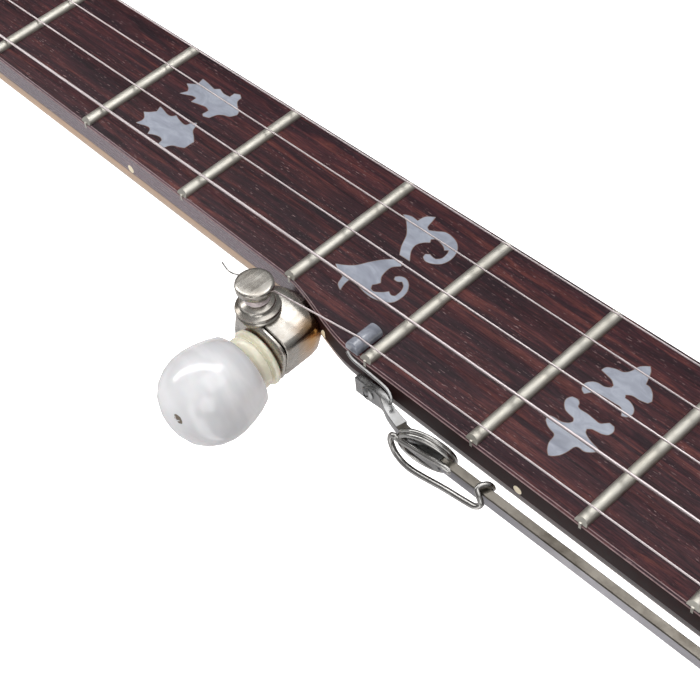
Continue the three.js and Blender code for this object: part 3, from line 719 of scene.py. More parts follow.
face = [(min(x, -7.5), y * 0.998) for x, y in peghead_outline]
face = [p for i, p in enumerate(face)  # drops points that the clamp has brought together
        if not i or (p[0] - face[i - 1][0]) ** 2 + (p[1] - face[i - 1][1]) ** 2 > 0.01]
holes = [circle(5.0, 24, -u, v) for u, v in TUNERS.values()]
piece("peghead_face", pierced(face, holes, -2.15, -0.4, bevel=0.25), "black",
      "peghead_overlay", place=PEGHEAD)

ORNAMENTS = [  # (half outline, spline points per side)
    ([(-62, 0), (-70, 4.5), (-80, 6), (-88, 3), (-98, 0)], 4),
    ([(-104, 0), (-109, 3.4), (-116, 0)], 5),
    ([(-122, 0), (-128, 9), (-134, 4), (-142, 0)], 5),
]
for i, (half, per) in enumerate(ORNAMENTS):
    outline = smooth_closed(mirrored(half), per)
    piece(f"peghead_inlay_{i + 1}", prism(outline, -0.6, -0.34), "inlay", place=PEGHEAD)

# truss rod cover, with a light line inside its edge
cover = smooth_closed([
    (-9, -5.5), (-9, 5.5), (-16, 7), (-24, 9), (-32, 8.4), (-38, 5), (-43, 0), (-38, -5),
    (-32, -8.4), (-24, -9), (-16, -7),
], 5)
piece("truss_cover", prism(cover, -0.3, 1.5), "black", "truss_rod_cover", bevel=0.4,
      place=PEGHEAD)
line = pierced([(x * 0.86 - 3.2, y * 0.82) for x, y in cover],
               [[(x * 0.82 - 4.2, y * 0.74) for x, y in cover]], 1.4, 1.56, bevel=0.02)
piece("truss_cover_line", line, "ivoroid", place=PEGHEAD)
for i, x in enumerate((-13.5, -38)):
    piece(f"truss_cover_screw_{i + 1}", screw(0.8), "nickel", place=PEGHEAD @ move(x, 0, 1.5))

# ---------------------------------------------------------------- strings and their nuts
# string: (y at the nut, y at the bridge, radius)
STRINGS = {
    1: (14.0, 20.9, 0.18), 2: (6.7, 10.6, 0.18), 3: (-2.7, 0.9, 0.21), 4: (-11.9, -10.4, 0.30),
}
FIFTH_BRIDGE_Y = -21.8
NUT_HEIGHT, BRIDGE_HEIGHT = 1.62, 7.6  # of the strings, over the board

NUT_PROFILE = [(-5.1, -4.6), (-0.2, -4.6), (-0.2, 1.05), (-1.2, 1.4), (-3.2, 0.9), (-5.1, -0.4)]
nut = loft([nut_path((x, y, z) for x, z in NUT_PROFILE) for y in (-15.1, 15.1)])
for n in (4, 3, 2, 1):
    y = STRINGS[n][0]
    slot = box(NUT_X - 7, NUT_X + 1, y - 0.3, y + 0.3, BOARD_Z + 1.1, BOARD_Z + 3)
    nut = boolean(nut, slot)
piece("nut_bone", nut, "bone", "nut", bevel=0.15)

# fifth-string nut: a rounded bar with a slot, set across the board behind the fifth fret
rings = []
for y, rise in ((-23.0, 0.75), (-22.7, 1), (-16.4, 1), (-16.0, 0.8)):
    dome = [(163.65 + 1.65 * cos(a), 1.0 + 1.35 * rise * sin(a)) for a in steps(0, pi, 0.35)]
    rings.append(nut_path((x, y, z) for x, z in [(162.0, 0.02), (165.3, 0.02)] + dome))
slot = box(NUT_X + 158, NUT_X + 168, -20.9, -20.4, BOARD_Z + 2.0, BOARD_Z + 5)
piece("fifth_nut_bar", boolean(loft(rings), slot), "grey_pearl", "fifth_nut", bevel=0.12)

for n, (nut_y, bridge_y, radius) in STRINGS.items():
    u, v = TUNERS[n]
    post_y = v - copysign(1, v) * (2.3 + radius)
    path = [PEGHEAD @ Vector((-u + 0.2, post_y, 8.6))]
    path += nut_path([
        (-3.6, nut_y, 0.9 + radius), (-2.2, nut_y, NUT_HEIGHT - 0.05),
        (-0.6, nut_y, NUT_HEIGHT - 0.1), (SCALE_LENGTH, bridge_y, BRIDGE_HEIGHT + radius),
    ])
    path += [(104, bridge_y * 0.75, 103.2), (121, bridge_y * 0.64, 100.9),
             (131, bridge_y * 0.62, 100.6)]
    piece(f"string_{n}_wire", wire(path, radius, 10), "string", f"string_{n}")
    winding = helix(-u, v, 8.5, radius=2.25 + radius, drop=2.15 * radius, count=81)
    piece(f"string_{n}_winding", wire([PEGHEAD @ Vector(p) for p in winding], radius, 8),
          "string", body=f"tuner_{n}_post")

# fifth string: off the post just below its cap, over its nut, to the bridge
POST5 = Vector((142.4, -27.9, 0))
path = nut_path([(143.0, -25.35, 5.3), (163.6, -20.65, 2.27), (165.2, -20.66, 2.22),
                 (SCALE_LENGTH, FIFTH_BRIDGE_Y, BRIDGE_HEIGHT + 0.18)])
path += [(104, -16.5, 103.2), (121, -14.0, 100.9), (131, -13.6, 100.6)]
piece("string_5_wire", wire(path, 0.19, 10), "string", "string_5")
winding = helix(POST5.x, POST5.y, 5.4, radius=2.65, drop=0.42, count=68, start=radians(80))
piece("string_5_winding", wire(nut_path(winding), 0.19, 8), "string", body="fifth_peg_post")
loose_end = [(142.2, -25.3, 4.6), (139.4, -25.6, 5.4), (136.4, -27.2, 5.6),
             (133.5, -27.2, 4.6), (130.8, -26.6, 4.8)]
piece("string_5_end", wire(spline(nut_path(loose_end), 5), 0.17, 8), "wire",
      body="fifth_peg_post")

# ---------------------------------------------------------------- position inlays
# (x, y) outlines in the nut frame
INLAYS = {
    "leaf_a": [
        (81.2, -8.8), (81.6, -7.6), (81.3, -6.5), (79.8, -5.4), (80.9, -4.6), (81.9, -3.4),
        (81.3, -1.9), (82.5, -2.1), (84.4, -2.5), (85.6, -2.3), (86.2, -1.4), (87.6, -1.9),
        (89.5, -2.2), (90.3, -1.9), (90.7, -0.8), (91.5, 0.0), (92.1, -0.8), (92.7, -2.2),
        (94.2, -3.3), (95.6, -4.4), (95.5, -5.8), (95.5, -7.0), (94.4, -7.6), (93.1, -8.1),
        (92.3, -9.0), (92.0, -10.2), (90.2, -10.0), (89.9, -8.7), (88.9, -8.3), (87.4, -8.6),
        (85.9, -9.4), (85.3, -8.3), (84.5, -7.9), (83.3, -8.1), (82.3, -8.5),
    ],
    "leaf_b": [
        (81.2, 3.9), (82.1, 5.5), (81.4, 6.4), (80.0, 7.1), (82.0, 8.5), (81.6, 10.5),
        (83.7, 10.3), (86.1, 9.9), (87.1, 10.8), (88.8, 10.3), (90.7, 10.5), (90.7, 11.9),
        (91.9, 12.5), (92.9, 11.9), (93.1, 10.6), (94.5, 9.4), (95.8, 8.6), (96.3, 7.6),
        (95.5, 6.2), (94.0, 5.6), (92.9, 4.6), (92.3, 2.9), (90.9, 2.4), (90.3, 2.8),
        (90.5, 4.4), (89.2, 4.8), (87.7, 4.5), (85.3, 3.8), (85.3, 5.3), (84.2, 5.3),
        (82.9, 4.7),
    ],
    "scroll_a": [
        (144.7, -8.9), (146.4, -7.9), (148.1, -6.4), (149.5, -4.0), (151.1, -1.7),
        (152.7, -0.2), (154.3, 0.5), (155.0, -0.6), (153.8, -2.0), (153.7, -3.7),
        (154.1, -5.3), (155.1, -6.5), (154.7, -7.3), (154.2, -8.0), (154.7, -8.9),
        (155.8, -9.1), (157.3, -8.0), (158.0, -7.1), (159.0, -7.5), (159.8, -7.1),
        (159.8, -5.5), (159.2, -4.1), (158.1, -3.4), (157.4, -4.0), (156.5, -4.0),
        (156.2, -3.4), (157.0, -2.6), (158.3, -2.4), (159.7, -3.2), (160.7, -4.7),
        (161.0, -6.4), (160.7, -8.3), (159.8, -9.3), (158.2, -10.1), (156.0, -10.5),
        (153.6, -10.3), (150.7, -9.6), (149.8, -10.0), (149.9, -11.6), (150.4, -13.2),
        (149.0, -12.4), (148.5, -11.2), (148.2, -10.3), (146.4, -9.8),
    ],
    "scroll_b": [
        (145.2, 10.0), (145.8, 10.4), (147.0, 10.8), (148.7, 10.7), (149.1, 12.6),
        (150.7, 13.9), (151.0, 12.6), (151.4, 10.8), (152.3, 10.3), (153.7, 11.1),
        (155.2, 12.1), (157.1, 12.1), (159.1, 11.4), (160.6, 9.8), (161.2, 7.5), (160.7, 5.4),
        (159.2, 4.1), (157.7, 3.7), (156.6, 4.2), (156.4, 5.0), (157.1, 5.6), (157.9, 5.4),
        (158.9, 5.4), (159.7, 6.5), (159.6, 8.1), (159.2, 9.0), (158.5, 8.4), (157.5, 9.1),
        (155.2, 9.6), (154.3, 8.8), (154.8, 8.0), (153.8, 7.1), (153.1, 5.6), (153.5, 3.9),
        (154.4, 2.6), (155.3, 1.6), (152.6, 1.5), (151.2, 3.5), (149.9, 6.2), (148.3, 8.0),
        (146.5, 9.5),
    ],
    "fleur_a": [
        (202.1, -2.9), (203.3, -2.7), (204.1, -3.2), (204.4, -3.9), (205.2, -4.2),
        (206.7, -4.1), (208.3, -4.2), (209.9, -4.3), (210.6, -3.7), (211.2, -3.0),
        (212.4, -3.1), (213.0, -4.0), (212.8, -5.2), (211.8, -5.8), (210.7, -6.0),
        (209.7, -6.2), (209.0, -6.8), (209.4, -7.6), (210.5, -8.2), (211.8, -8.6),
        (213.4, -8.9), (213.6, -9.7), (213.0, -10.4), (212.0, -11.0), (210.6, -11.0),
        (210.0, -11.6), (209.8, -13.0), (209.3, -14.6), (208.4, -15.7), (207.8, -16.0),
        (206.8, -15.1), (206.0, -13.7), (205.8, -12.3), (205.3, -11.6), (204.0, -11.3),
        (202.9, -10.8), (202.0, -10.0), (202.0, -9.0), (203.0, -8.8), (204.5, -8.7),
        (205.7, -8.0), (206.1, -7.2), (205.6, -6.5), (204.3, -6.3), (203.2, -6.0),
        (202.1, -5.0), (201.7, -3.9),
    ],
    "fleur_b": [
        (202.0, 5.7), (202.3, 6.8), (203.8, 7.6), (205.4, 8.0), (206.3, 9.2), (206.8, 11.1),
        (208.2, 12.4), (209.1, 11.4), (209.8, 9.8), (210.3, 8.5), (211.4, 8.4), (212.7, 7.5),
        (213.7, 6.1), (213.4, 5.3), (211.9, 4.9), (210.2, 4.8), (209.1, 4.1), (209.5, 3.4),
        (210.9, 3.3), (212.4, 2.5), (213.0, 1.3), (212.6, 0.2), (211.7, -0.2), (210.5, 1.2),
        (208.6, 1.2), (206.6, 1.1), (204.6, 0.8), (203.9, 0.1), (203.3, -0.8), (202.3, -0.3),
        (201.8, 1.0), (202.4, 2.2), (203.5, 2.8), (205.0, 2.9), (206.1, 3.6), (206.1, 4.3),
        (205.0, 5.1), (203.7, 5.4),
    ],
}
STAR = mirrored([(-6, 0), (-3.6, 1.6), (-2.6, 4.0), (-0.6, 2.6), (0, 5.6), (0.6, 2.6),
                 (2.6, 4.0), (3.6, 1.6), (6, 0)])
# (name, fret, size) of the pairs of stars
STAR_PAIRS = [("twelfth", 12, 1.0), ("fifteenth", 15, 0.8), ("seventeenth", 17, 0.72),
              ("nineteenth", 19, 0.6), ("twentysecond", 22, 0.5)]


def inlay(name, points):
    """A pearl shape with a thin line of filler round it."""
    outline = smooth_closed(points)
    piece("inlay_line_" + name, prism(grow(outline, 0.12), -0.3, 0.012), "filler", place=NUT)
    piece("inlay_" + name, prism(outline, -0.3, 0.03), "inlay", place=NUT)


for name, points in INLAYS.items():
    inlay(name, points)
inlay("first", [(fret_middle(1) + x * 1.25, y * 1.2) for x, y in STAR])
inlay("tenth", [(fret_middle(10) + x * 1.1, y * 1.3 - 0.6) for x, y in STAR])
for name, fret, size in STAR_PAIRS:
    for letter, sign in (("a", -1), ("b", 1)):
        inlay(f"{name}_{letter}", [
            (fret_middle(fret) + x * size, sign * (y * size + 8.0) - 0.8) for x, y in STAR])

SIDE_DOTS = {3: 1, 5: 1, 7: 1, 9: 1, 12: 2, 15: 1, 17: 1, 19: 1}  # fret: count
SHIFTED_DOTS = {3: 88.0, 7: 207.0}  # fret: x where it isn't midway
for fret, count in SIDE_DOTS.items():
    for c in range(count):
        x = SHIFTED_DOTS.get(fret, fret_middle(fret)) + (c - (count - 1) / 2) * 6
        dot = lathe([(0, -0.6), (1.0, -0.6), (1.0, 0.0), (0.85, 0.05), (0, 0.06)], 20)
        piece(f"side_dot_{fret}_{c + 1}", dot, "dot",
              place=NUT @ move(x, -bass(x), -4.0) @ turn("X", 90))


# ---------------------------------------------------------------- fifth-string peg
def housing_ring(y, half_width, top, bottom, roundness):
    """Rounded rectangle across X and Z; roundness 1 is an ellipse."""
    out = []
    for i in range(32):
        c, s = cos(2 * pi * i / 32), sin(2 * pi * i / 32)
        x = half_width * copysign(abs(c) ** roundness, c)
        z = (top + bottom) / 2 + (top - bottom) / 2 * copysign(abs(s) ** roundness, s)
        out.append(Vector((x, y, z)))
    return out


# (y, half width, top, bottom, roundness): square towards the button, round at the neck
HOUSING = [
    (-18.6, 3.6, -4.4, -11.6, 1.0), (-20.4, 4.8, -3.0, -11.8, 0.85),
    (-22.0, 6.2, -1.6, -12.4, 0.62), (-23.4, 7.0, -0.7, -12.9, 0.5),
    (-25.0, 7.2, -0.4, -13.1, 0.46), (-31.6, 7.2, -0.4, -13.1, 0.46),
    (-32.3, 7.0, -0.6, -12.9, 0.46),
]
GEAR_COVER = [
    (-32.4, 6.7, -0.9, -12.6, 0.46), (-32.8, 7.2, -0.4, -13.1, 0.46),
    (-33.2, 7.2, -0.4, -13.1, 0.46), (-33.6, 6.7, -0.9, -12.6, 0.46),
]
# tipped 14 degrees about its own middle
tipped = NUT @ move(144.8, 2.3, 0.8) @ move(0, 0, -7.0) @ turn("Y", 14) @ move(0, 0, 7.0)
piece("peg5_body", loft([housing_ring(*row) for row in HOUSING]), "nickel_worn",
      "peg5_housing", bevel=0.3, place=tipped, angle=45)
piece("peg5_gear_cover", loft([housing_ring(*row) for row in GEAR_COVER]), "nickel_worn",
      place=tipped, angle=45)
socket = [(2.9, -0.4), (4.4, -0.4), (4.6, 0.1), (4.55, 0.45), (4.3, 0.7), (2.9, 0.7), (2.9, -0.4)]
piece("peg5_socket_ring", lathe(socket, 36), "nickel_worn",
      place=NUT @ move(POST5.x, POST5.y, 0.1))
post = [
    (0, -3), (2.7, -3), (2.7, 0.35), (4.5, 0.35), (4.75, 0.7), (4.6, 1.15), (3.9, 1.5),
    (3.5, 1.9), (3.45, 2.3), (3.0, 2.55), (2.45, 2.8), (2.4, 4.9), (2.7, 5.15), (3.5, 5.5),
    (3.9, 6.0), (3.98, 7.2), (3.9, 7.5), (3.7, 7.66), (3.3, 7.72), (1.6, 7.66), (0, 7.64),
]
bm = boolean(lathe(post, 40), box(-9, 9, -0.35, 0.35, 3.3, 4.0))
piece("peg5_post_cap", bm, "nickel_worn", "peg5_post", body="fifth_peg_post",
      place=NUT @ move(POST5.x, POST5.y, 0.8), angle=40)

# knob along -Y: cream stepped collar and a pearloid button
knob = NUT @ move(145.35, 2.2, -8.1) @ turn("X", 90)
collar = [
    (0, 33.9), (6.2, 33.9), (6.5, 34.2), (6.5, 34.7), (6.2, 35.0), (5.3, 35.2), (5.3, 35.4),
    (5.9, 35.9), (6.0, 36.6), (5.7, 37.3), (5.0, 37.8), (4.6, 38.4), (4.4, 38.7), (4.4, 39.6),
    (0, 39.6),
]
piece("peg5_collar", lathe(collar, 44), "collar", body="fifth_peg_knob", place=knob)
button = lathe([
    (0, 38.7), (6.2, 38.7), (7.8, 38.85), (8.5, 39.3), (9.3, 41.2), (10.0, 43.8), (10.4, 46.4),
    (10.35, 48.8), (9.7, 51.2), (8.5, 53.4), (6.7, 55.2), (4.4, 56.4), (2.2, 56.95), (0, 57.1),
], 56)
bmesh.ops.scale(button, vec=(0.98, 0.96, 1), verts=button.verts)
piece("peg5_button", button, "button", "peg5_knob", body="fifth_peg_knob", place=knob, angle=60)
piece("peg5_button_screw", screw(0.85), "blemish", body="fifth_peg_knob",
      place=knob @ move(1.6, 2.2, 55.9))


# ---------------------------------------------------------------- fifth-string capo
def bar_section(w, h, k):
    """Rectangle of half width w and half height h, its corners cut by k."""
    return [(-w, -h + k), (-w, h - k), (-w + k, h), (w - k, h),
            (w, h - k), (w, -h + k), (w - k, -h), (-w + k, -h)]


def strap(name, points, half_width, half_thickness, up=(0, -1, 0)):
    """A flat strap; its half sizes are functions of the share of its path."""
    bm = sweep(spline(nut_path(points)),
               lambda i, t: bar_section(half_width(t), half_thickness(t), 0.12), up)
    piece(name, bm, "aged", angle=35)


def edge_y(x, out):
    """y at a distance out from the board's -Y edge."""
    return -bass(x) - out


rail = sweep(spline(nut_path([
    (180.6, -27.2, -5.0), (184, -27.9, -4.4), (190, -28.0, -4.3), (230, -28.05, -4.5),
    (300, -28.15, -4.7), (352, -28.1, -4.7), (359, -27.9, -4.8), (363, -27.2, -5.2),
])), lambda i, t: bar_section(1.05, 1.32, 0.2))
bmesh.ops.recalc_face_normals(rail, faces=rail.faces)
# top faces and sides wear two copies of the steel tuned apart, the top darker and browner: painted
# shade, over tarnish patches on both
for face in rail.faces:
    face.material_index = 1 if face.normal.z > 0.5 else 0
piece("capo_rail_bar", rail, ["rail_side", "rail_top"], "capo_rail", angle=35)

# each end of the rail bends in to the neck and widens into a screwed tab
strap("capo_front_tab",
      [(166.4, edge_y(166.4, 1.3), -5.6), (170, edge_y(170, 1.3), -5.6),
       (173.6, edge_y(173, 1.5), -5.2), (177, -26.1, -4.8), (181.0, -27.1, -4.8)],
      lambda t: 2.2 - 0.95 * ease((t - 0.35) * 2.0), lambda t: 0.8 + 0.4 * ease((t - 0.5) * 2))
strap("capo_rear_tab",
      [(362.5, -27.1, -4.9), (367, -26.5, -4.9), (371, edge_y(371, 1.2), -5.2),
       (378, edge_y(378, 1.2), -5.4)],
      lambda t: 1.6 + 1.1 * ease((t - 0.25) * 1.6), lambda t: 1.5 - 0.7 * ease(t * 2))
# the end of the wire along the board's edge
strap("capo_edge_wire",
      [(163.0, -23.5, 0.1), (165.0, -23.95, -0.5), (170, -24.2, -0.6), (174.6, -24.5, -0.8),
       (176.6, -25.3, -1.3), (176.9, -26.0, -2.2)],
      lambda t: 0.3, lambda t: 0.3, up=(0, 0, 1))
for i, x in enumerate((169.8, 374.0)):
    piece(f"capo_tab_screw_{i + 1}", screw(0.75), "aged", f"capo_screw_{i + 1}",
          place=NUT @ move(x, edge_y(x, 2.05), -5.6) @ turn("X", 90))

# slider: flattened disc, the coil's turns and a sleeve over the rail
COIL_CENTRE = Vector((188.6, -27.8, -3.4))
coil_axis = Vector((0.223, -0.954, -0.201)).normalized()
coil_x = Vector((1, 0, 0)) - coil_axis * coil_axis.x
coil_x.normalize()
coil_y = coil_axis.cross(coil_x)


def coil_point(degrees, radius, offset):
    a = radians(degrees)
    across = coil_x * (radius * cos(a)) + coil_y * (radius * 0.94 * sin(a))
    return from_nut(*(COIL_CENTRE + across + coil_axis * offset))


disc = lathe([(0, -0.3), (3.6, -0.3), (4.15, -0.1), (4.15, 0.1), (3.6, 0.22), (0, 0.26)], 36)
facing = Matrix((coil_x, coil_y, coil_axis)).transposed().to_4x4()
piece("capo_disc", disc, "aged", "capo_slider", body="capo",
      place=NUT @ move(*(COIL_CENTRE + coil_axis * 0.55)) @ facing
      @ Matrix.Diagonal((1.0, 0.9, 1, 1)))
turns = [coil_point(a, 5.85 - 0.35 * ease((a - 200) / 300), a / 360 * 0.8)
         for a in range(-30, 700, 10)]
piece("capo_coil", wire(turns, 0.5, 12), "wire", body="capo")
sleeve = sweep(nut_path([(184.6, -28.0, -4.35), (192.6, -28.0, -4.35)]),
               lambda i, t: bar_section(1.45, 1.72, 0.2))
piece("capo_sleeve", sleeve, "aged", body="capo", angle=35)

# lever: the wire handle, from the coil out and back to the clip over the rail
lever = [coil_point(700, 5.55, 2.25), coil_point(724, 5.6, 2.45)] + nut_path([
    (184.6, -30.6, -2.4), (182.9, -30.8, -2.0), (182.0, -30.9, -2.7), (182.1, -31.1, -4.4),
    (184.0, -31.6, -6.2), (188, -31.9, -6.8), (196, -31.3, -5.9), (201.2, -31.1, -5.2),
    (203.4, -30.9, -4.8), (204.3, -30.3, -3.9), (203.4, -29.8, -2.9), (202.4, -29.2, -2.3),
    (202.5, -28.2, -2.0), (203.2, -27.0, -2.3), (203.7, -26.5, -3.4),
])
piece("capo_handle", wire(spline(lever), 0.62, 12), "wire", "capo_lever", body="capo_lever")

# ---------------------------------------------------------------- peghead tuners
# (radius, z) profiles about each post
TUNER_CASE = [
    (3.1, -25.4), (6.4, -25.4), (8.0, -24.6), (8.5, -23.4), (8.5, -21.2), (8.1, -20.9),
    (8.1, -19.9), (8.5, -19.6), (8.5, -17.4), (7.6, -15.6), (5.0, -15.15), (4.7, -15.0),
    (4.7, 0.0), (3.15, 0.0), (3.15, -25.4),
]
WASHER = [(3.3, -0.35), (8.4, -0.35), (8.4, 0.1), (7.9, 0.4), (3.3, 0.4), (3.3, -0.35)]
TUNER_POST = [
    (0, -14), (2.9, -14), (2.9, 5.2), (2.6, 5.8), (2.2, 6.6), (2.1, 8.6), (2.3, 9.6),
    (3.0, 10.5), (3.2, 11.2), (3.0, 11.8), (2.2, 12.15), (0, 12.2),
]
TUNER_BUTTON = [
    (0, -41.2), (3.2, -41.0), (6.4, -40.2), (8.6, -38.6), (9.6, -36.2), (9.7, -33.6),
    (9.1, -30.6), (8.0, -28.2), (7.2, -27.2), (5.2, -26.9), (3.0, -26.9), (3.0, -25.9),
    (2.3, -25.9), (2.3, -15.5), (0, -15.5),
]
for n, (u, v) in TUNERS.items():
    tuner = f"tuner_{n}_"
    place = PEGHEAD @ move(-u, v, 0)
    piece(tuner + "case", lathe(TUNER_CASE, 44), "bright", tuner + "housing", place=place)
    piece(tuner + "washer", lathe(WASHER, 44), "bright", place=place)
    bore = lathe([(0, -2), (3.2, -2), (3.2, 6), (0, 6)], 32)
    hexagon = boolean(prism(circle(8.2 * 0.84, 6, start=0.5), 0.4, 3.0), bore)
    piece(tuner + "hexnut", hexagon, "bright", place=place, bevel=0.35)
    post = boolean(lathe(TUNER_POST, 36), box(-9, 9, -0.45, 0.45, 7.2, 8.0))
    piece(tuner + "string_post", post, "bright", tuner + "post", body=tuner + "post",
          place=place)
    button = lathe(TUNER_BUTTON, 44)
    bmesh.ops.scale(button, vec=(1.0, 0.88, 1), verts=[w for w in button.verts if w.co.z < -27])
    piece(tuner + "button", button, "button", tuner + "knob", body=tuner + "knob",
          place=place, angle=60)
    piece(tuner + "button_screw", screw(0.8), "bright", body=tuner + "knob",
          place=place @ move(0, 0, -40.9) @ turn("X", 180))

# ---------------------------------------------------------------- pot: (radius, z) profiles
RIM = [(127.5, 26), (139.2, 26), (139.2, 84), (127.5, 84), (127.5, 26)]
TONE_RING = [
    (125.5, 84.4), (139.2, 84.4), (139.2, 90.4), (138, 91.5), (135.5, 91.5), (133.5, 89.5),
    (125.5, 88.8), (125.5, 84.4),
]
HEAD = [
    (0, 92.0), (138.2, 92.0), (139.5, 90.9), (139.6, 86.2), (140.5, 86.2), (140.5, 91.0),
    (139.8, 92.0), (138.6, 92.5), (0, 92.5),
]
HOOP = [
    (140.9, 87.2), (148.6, 87.2), (149.1, 87.6), (149.3, 88.4), (149.3, 91.0), (148.9, 91.5),
    (148.9, 93.6), (148.6, 94.7), (147.6, 95.2), (144.4, 95.2), (143.4, 94.7), (143.0, 93.6),
    (142.8, 92.4), (140.9, 91.6), (140.9, 87.2),
]
piece("rim_wood", lathe(RIM, POT_SEGMENTS), "rim", "rim", bevel=0.5)
piece("tone_ring_metal", lathe(TONE_RING, POT_SEGMENTS), "bright", "tone_ring")
piece("head_skin", lathe(HEAD, POT_SEGMENTS), "head", "head")
piece("hoop_metal", lathe(HOOP, POT_SEGMENTS), "bright", "tension_hoop")

# tension hooks every 15 degrees, none at the heel (180 degrees) or the tailpiece (0)
HOOK_PITCH = 15
HOOK_ANGLES = [180 + sign * HOOK_PITCH * k for k in range(1, 12) for sign in (-1, 1)]
HOOK_RADIUS = 152.9
hook_path = spline([
    (HOOK_RADIUS, 0, 44), (HOOK_RADIUS, 0, 60), (HOOK_RADIUS, 0, 80), (HOOK_RADIUS, 0, 92),
    (HOOK_RADIUS - 0.25, 0, 95.2), (HOOK_RADIUS - 1.6, 0, 97.2), (149.2, 0, 97.9),
    (146.2, 0, 97.6), (143.8, 0, 96.4), (142.6, 0, 95.2),
], 4)
HOOK_NUT = [(1.8, 46), (3.2, 46), (3.6, 46.6), (3.6, 56.4), (3.2, 57), (1.8, 57), (1.8, 46)]


def hook_section(i, t):
    """Round on the shank, flattened over the hoop."""
    flat = ease((i / len(hook_path) - 0.42) / 0.3)
    return [(x * (1 + 0.35 * flat), y * (1 - 0.25 * flat)) for x, y in circle(1.55, 12)]


for i, angle in enumerate(sorted(HOOK_ANGLES)):
    around = turn("Z", angle)
    piece(f"hook_{i + 1:02d}", sweep(hook_path, hook_section, up=(1, 0, 0)), "bright",
          "tension_hooks", place=around)
    piece(f"hook_nut_{i + 1:02d}", lathe(HOOK_NUT, 6), "bright", "hook_nuts", bevel=0.3,
          place=around @ move(HOOK_RADIUS, 0, 0), angle=25)

# flange: a C-shaped plate with arched openings between the hooks, its ends at the heel
FLANGE_INNER = 140.0
FLANGE_ARC = (190.8, 529.2)
OPENING = [  # (radius, sideways)
    (155.4, -5.6), (158.5, -6.3), (162.5, -6.0), (165.6, -4.0), (167.0, 0), (165.6, 4.0),
    (162.5, 6.0), (158.5, 6.3), (155.4, 5.6), (154.8, 0),
]
outline = [polar(171.5, a) for a in steps(189, 531, 2)]
outline += [polar(FLANGE_INNER, a) for a in reversed(steps(*FLANGE_ARC, 2))]
holes = [circle(2.2, 14, *polar(HOOK_RADIUS, a)) for a in HOOK_ANGLES]
for k in range(2, 24):
    c, s = polar(1, 180 + HOOK_PITCH * k - HOOK_PITCH / 2)
    holes.append([(x * c - y * s, x * s + y * c) for x, y in smooth_closed(OPENING, 3, 80)])
plate = pierced(outline, holes, 62.4, 64.6, bevel=0.4, resolution=2)
piece("flange_plate", plate, "bright", "flange")
ring = arc_sweep([
    (FLANGE_INNER, 57.5), (149.2, 57.5), (150.2, 58.6), (150.2, 62.4), (148.6, 65.4),
    (147.2, 66.0), (141.0, 66.0), (FLANGE_INNER, 65.4),
], *FLANGE_ARC)
piece("flange_inner_ring", ring, "bright", bevel=0.3)

# resonator: a bowl cut away for the heel, bound at its edges, with rings on the back
BOWL = [
    (0, 0.0), (150, 0.0), (158, 0.5), (165, 2.4), (169.6, 6.0), (172.2, 10.5), (173.4, 16),
    (174.0, 24), (174.0, 62.0), (168.5, 62.0), (168.5, 22), (167, 14), (163, 9), (156, 6.2),
    (148, 5.4), (0, 5.4),
]
bowl = boolean(lathe(BOWL, POT_SEGMENTS), box(-190, -150, -25.6, 25.6, 36, 70))
piece("resonator_bowl", bowl, "resonator", "resonator", angle=40)
BOWL_ARC = (188.7, 531.3)
binding = [(172.2, 60.2), (174.25, 60.2), (174.25, 62.0), (173.8, 62.3), (172.2, 62.3)]
piece("resonator_top_binding", arc_sweep(binding, *BOWL_ARC), "ivoroid")
side_line = [(173.6, 55.6), (174.08, 55.6), (174.08, 56.4), (173.6, 56.4)]
piece("resonator_side_line", arc_sweep(side_line, *BOWL_ARC), "ivoroid")
binding = [(170.6, 8.2), (171.6, 8.2), (172.9, 11.6), (173.1, 13.4), (172.0, 13.4), (170.6, 8.2)]
piece("resonator_back_binding", lathe(binding, POT_SEGMENTS), "ivoroid")
BACK_RINGS = [  # (inner radius, outer radius, finish)
    (118.0, 119.4, "ivoroid"), (116.2, 118.0, "ebony"), (119.4, 121.2, "ebony"),
    (44, 45.2, "ivoroid"),
]
for i, (r0, r1, finish) in enumerate(BACK_RINGS):
    profile = [(r0, -0.04), (r1, -0.04), (r1, 0.6), (r0, 0.6), (r0, -0.04)]
    piece(f"resonator_back_ring_{i + 1}", lathe(profile, POT_SEGMENTS), finish)
for level, z in (("upper", 74), ("lower", 50)):
    rod = lathe([(0, 0), (3.4, 0), (3.9, 0.5), (3.9, 252.5), (3.4, 253), (0, 253)], 24)
    piece(f"coordinator_rod_{level}_bar", rod, "bright", f"coordinator_rod_{level}",
          place=move(-126.5, 0, z) @ turn("Y", 90))

# thumbscrews: knurled heads standing on the flange
KNURLED = [  # (z, radius, knurl depth)
    (0, 0.01, 0), (0, 4.6, 0), (1.0, 5.5, 0.25), (5.0, 5.5, 0.25), (6.2, 4.7, 0), (6.5, 3.4, 0),
    (6.5, 0.01, 0),
]
for i, angle in enumerate((45, 135, 225, 315)):
    rings = []
    for z, radius, knurl in KNURLED:
        radii = [(k, radius - knurl * (k % 2)) for k in range(60)]
        rings.append([Vector((r * cos(2 * pi * k / 60), r * sin(2 * pi * k / 60), z))
                      for k, r in radii])
    piece(f"thumbscrew_{i + 1}_head", loft(rings), "bright", f"thumbscrew_{i + 1}",
          body=f"thumbscrew_{i + 1}", place=move(*polar(167.5, angle), 64.9), angle=25)


# ---------------------------------------------------------------- bridge
def flipped(points):
    return [(-y, z) for y, z in reversed(points)]


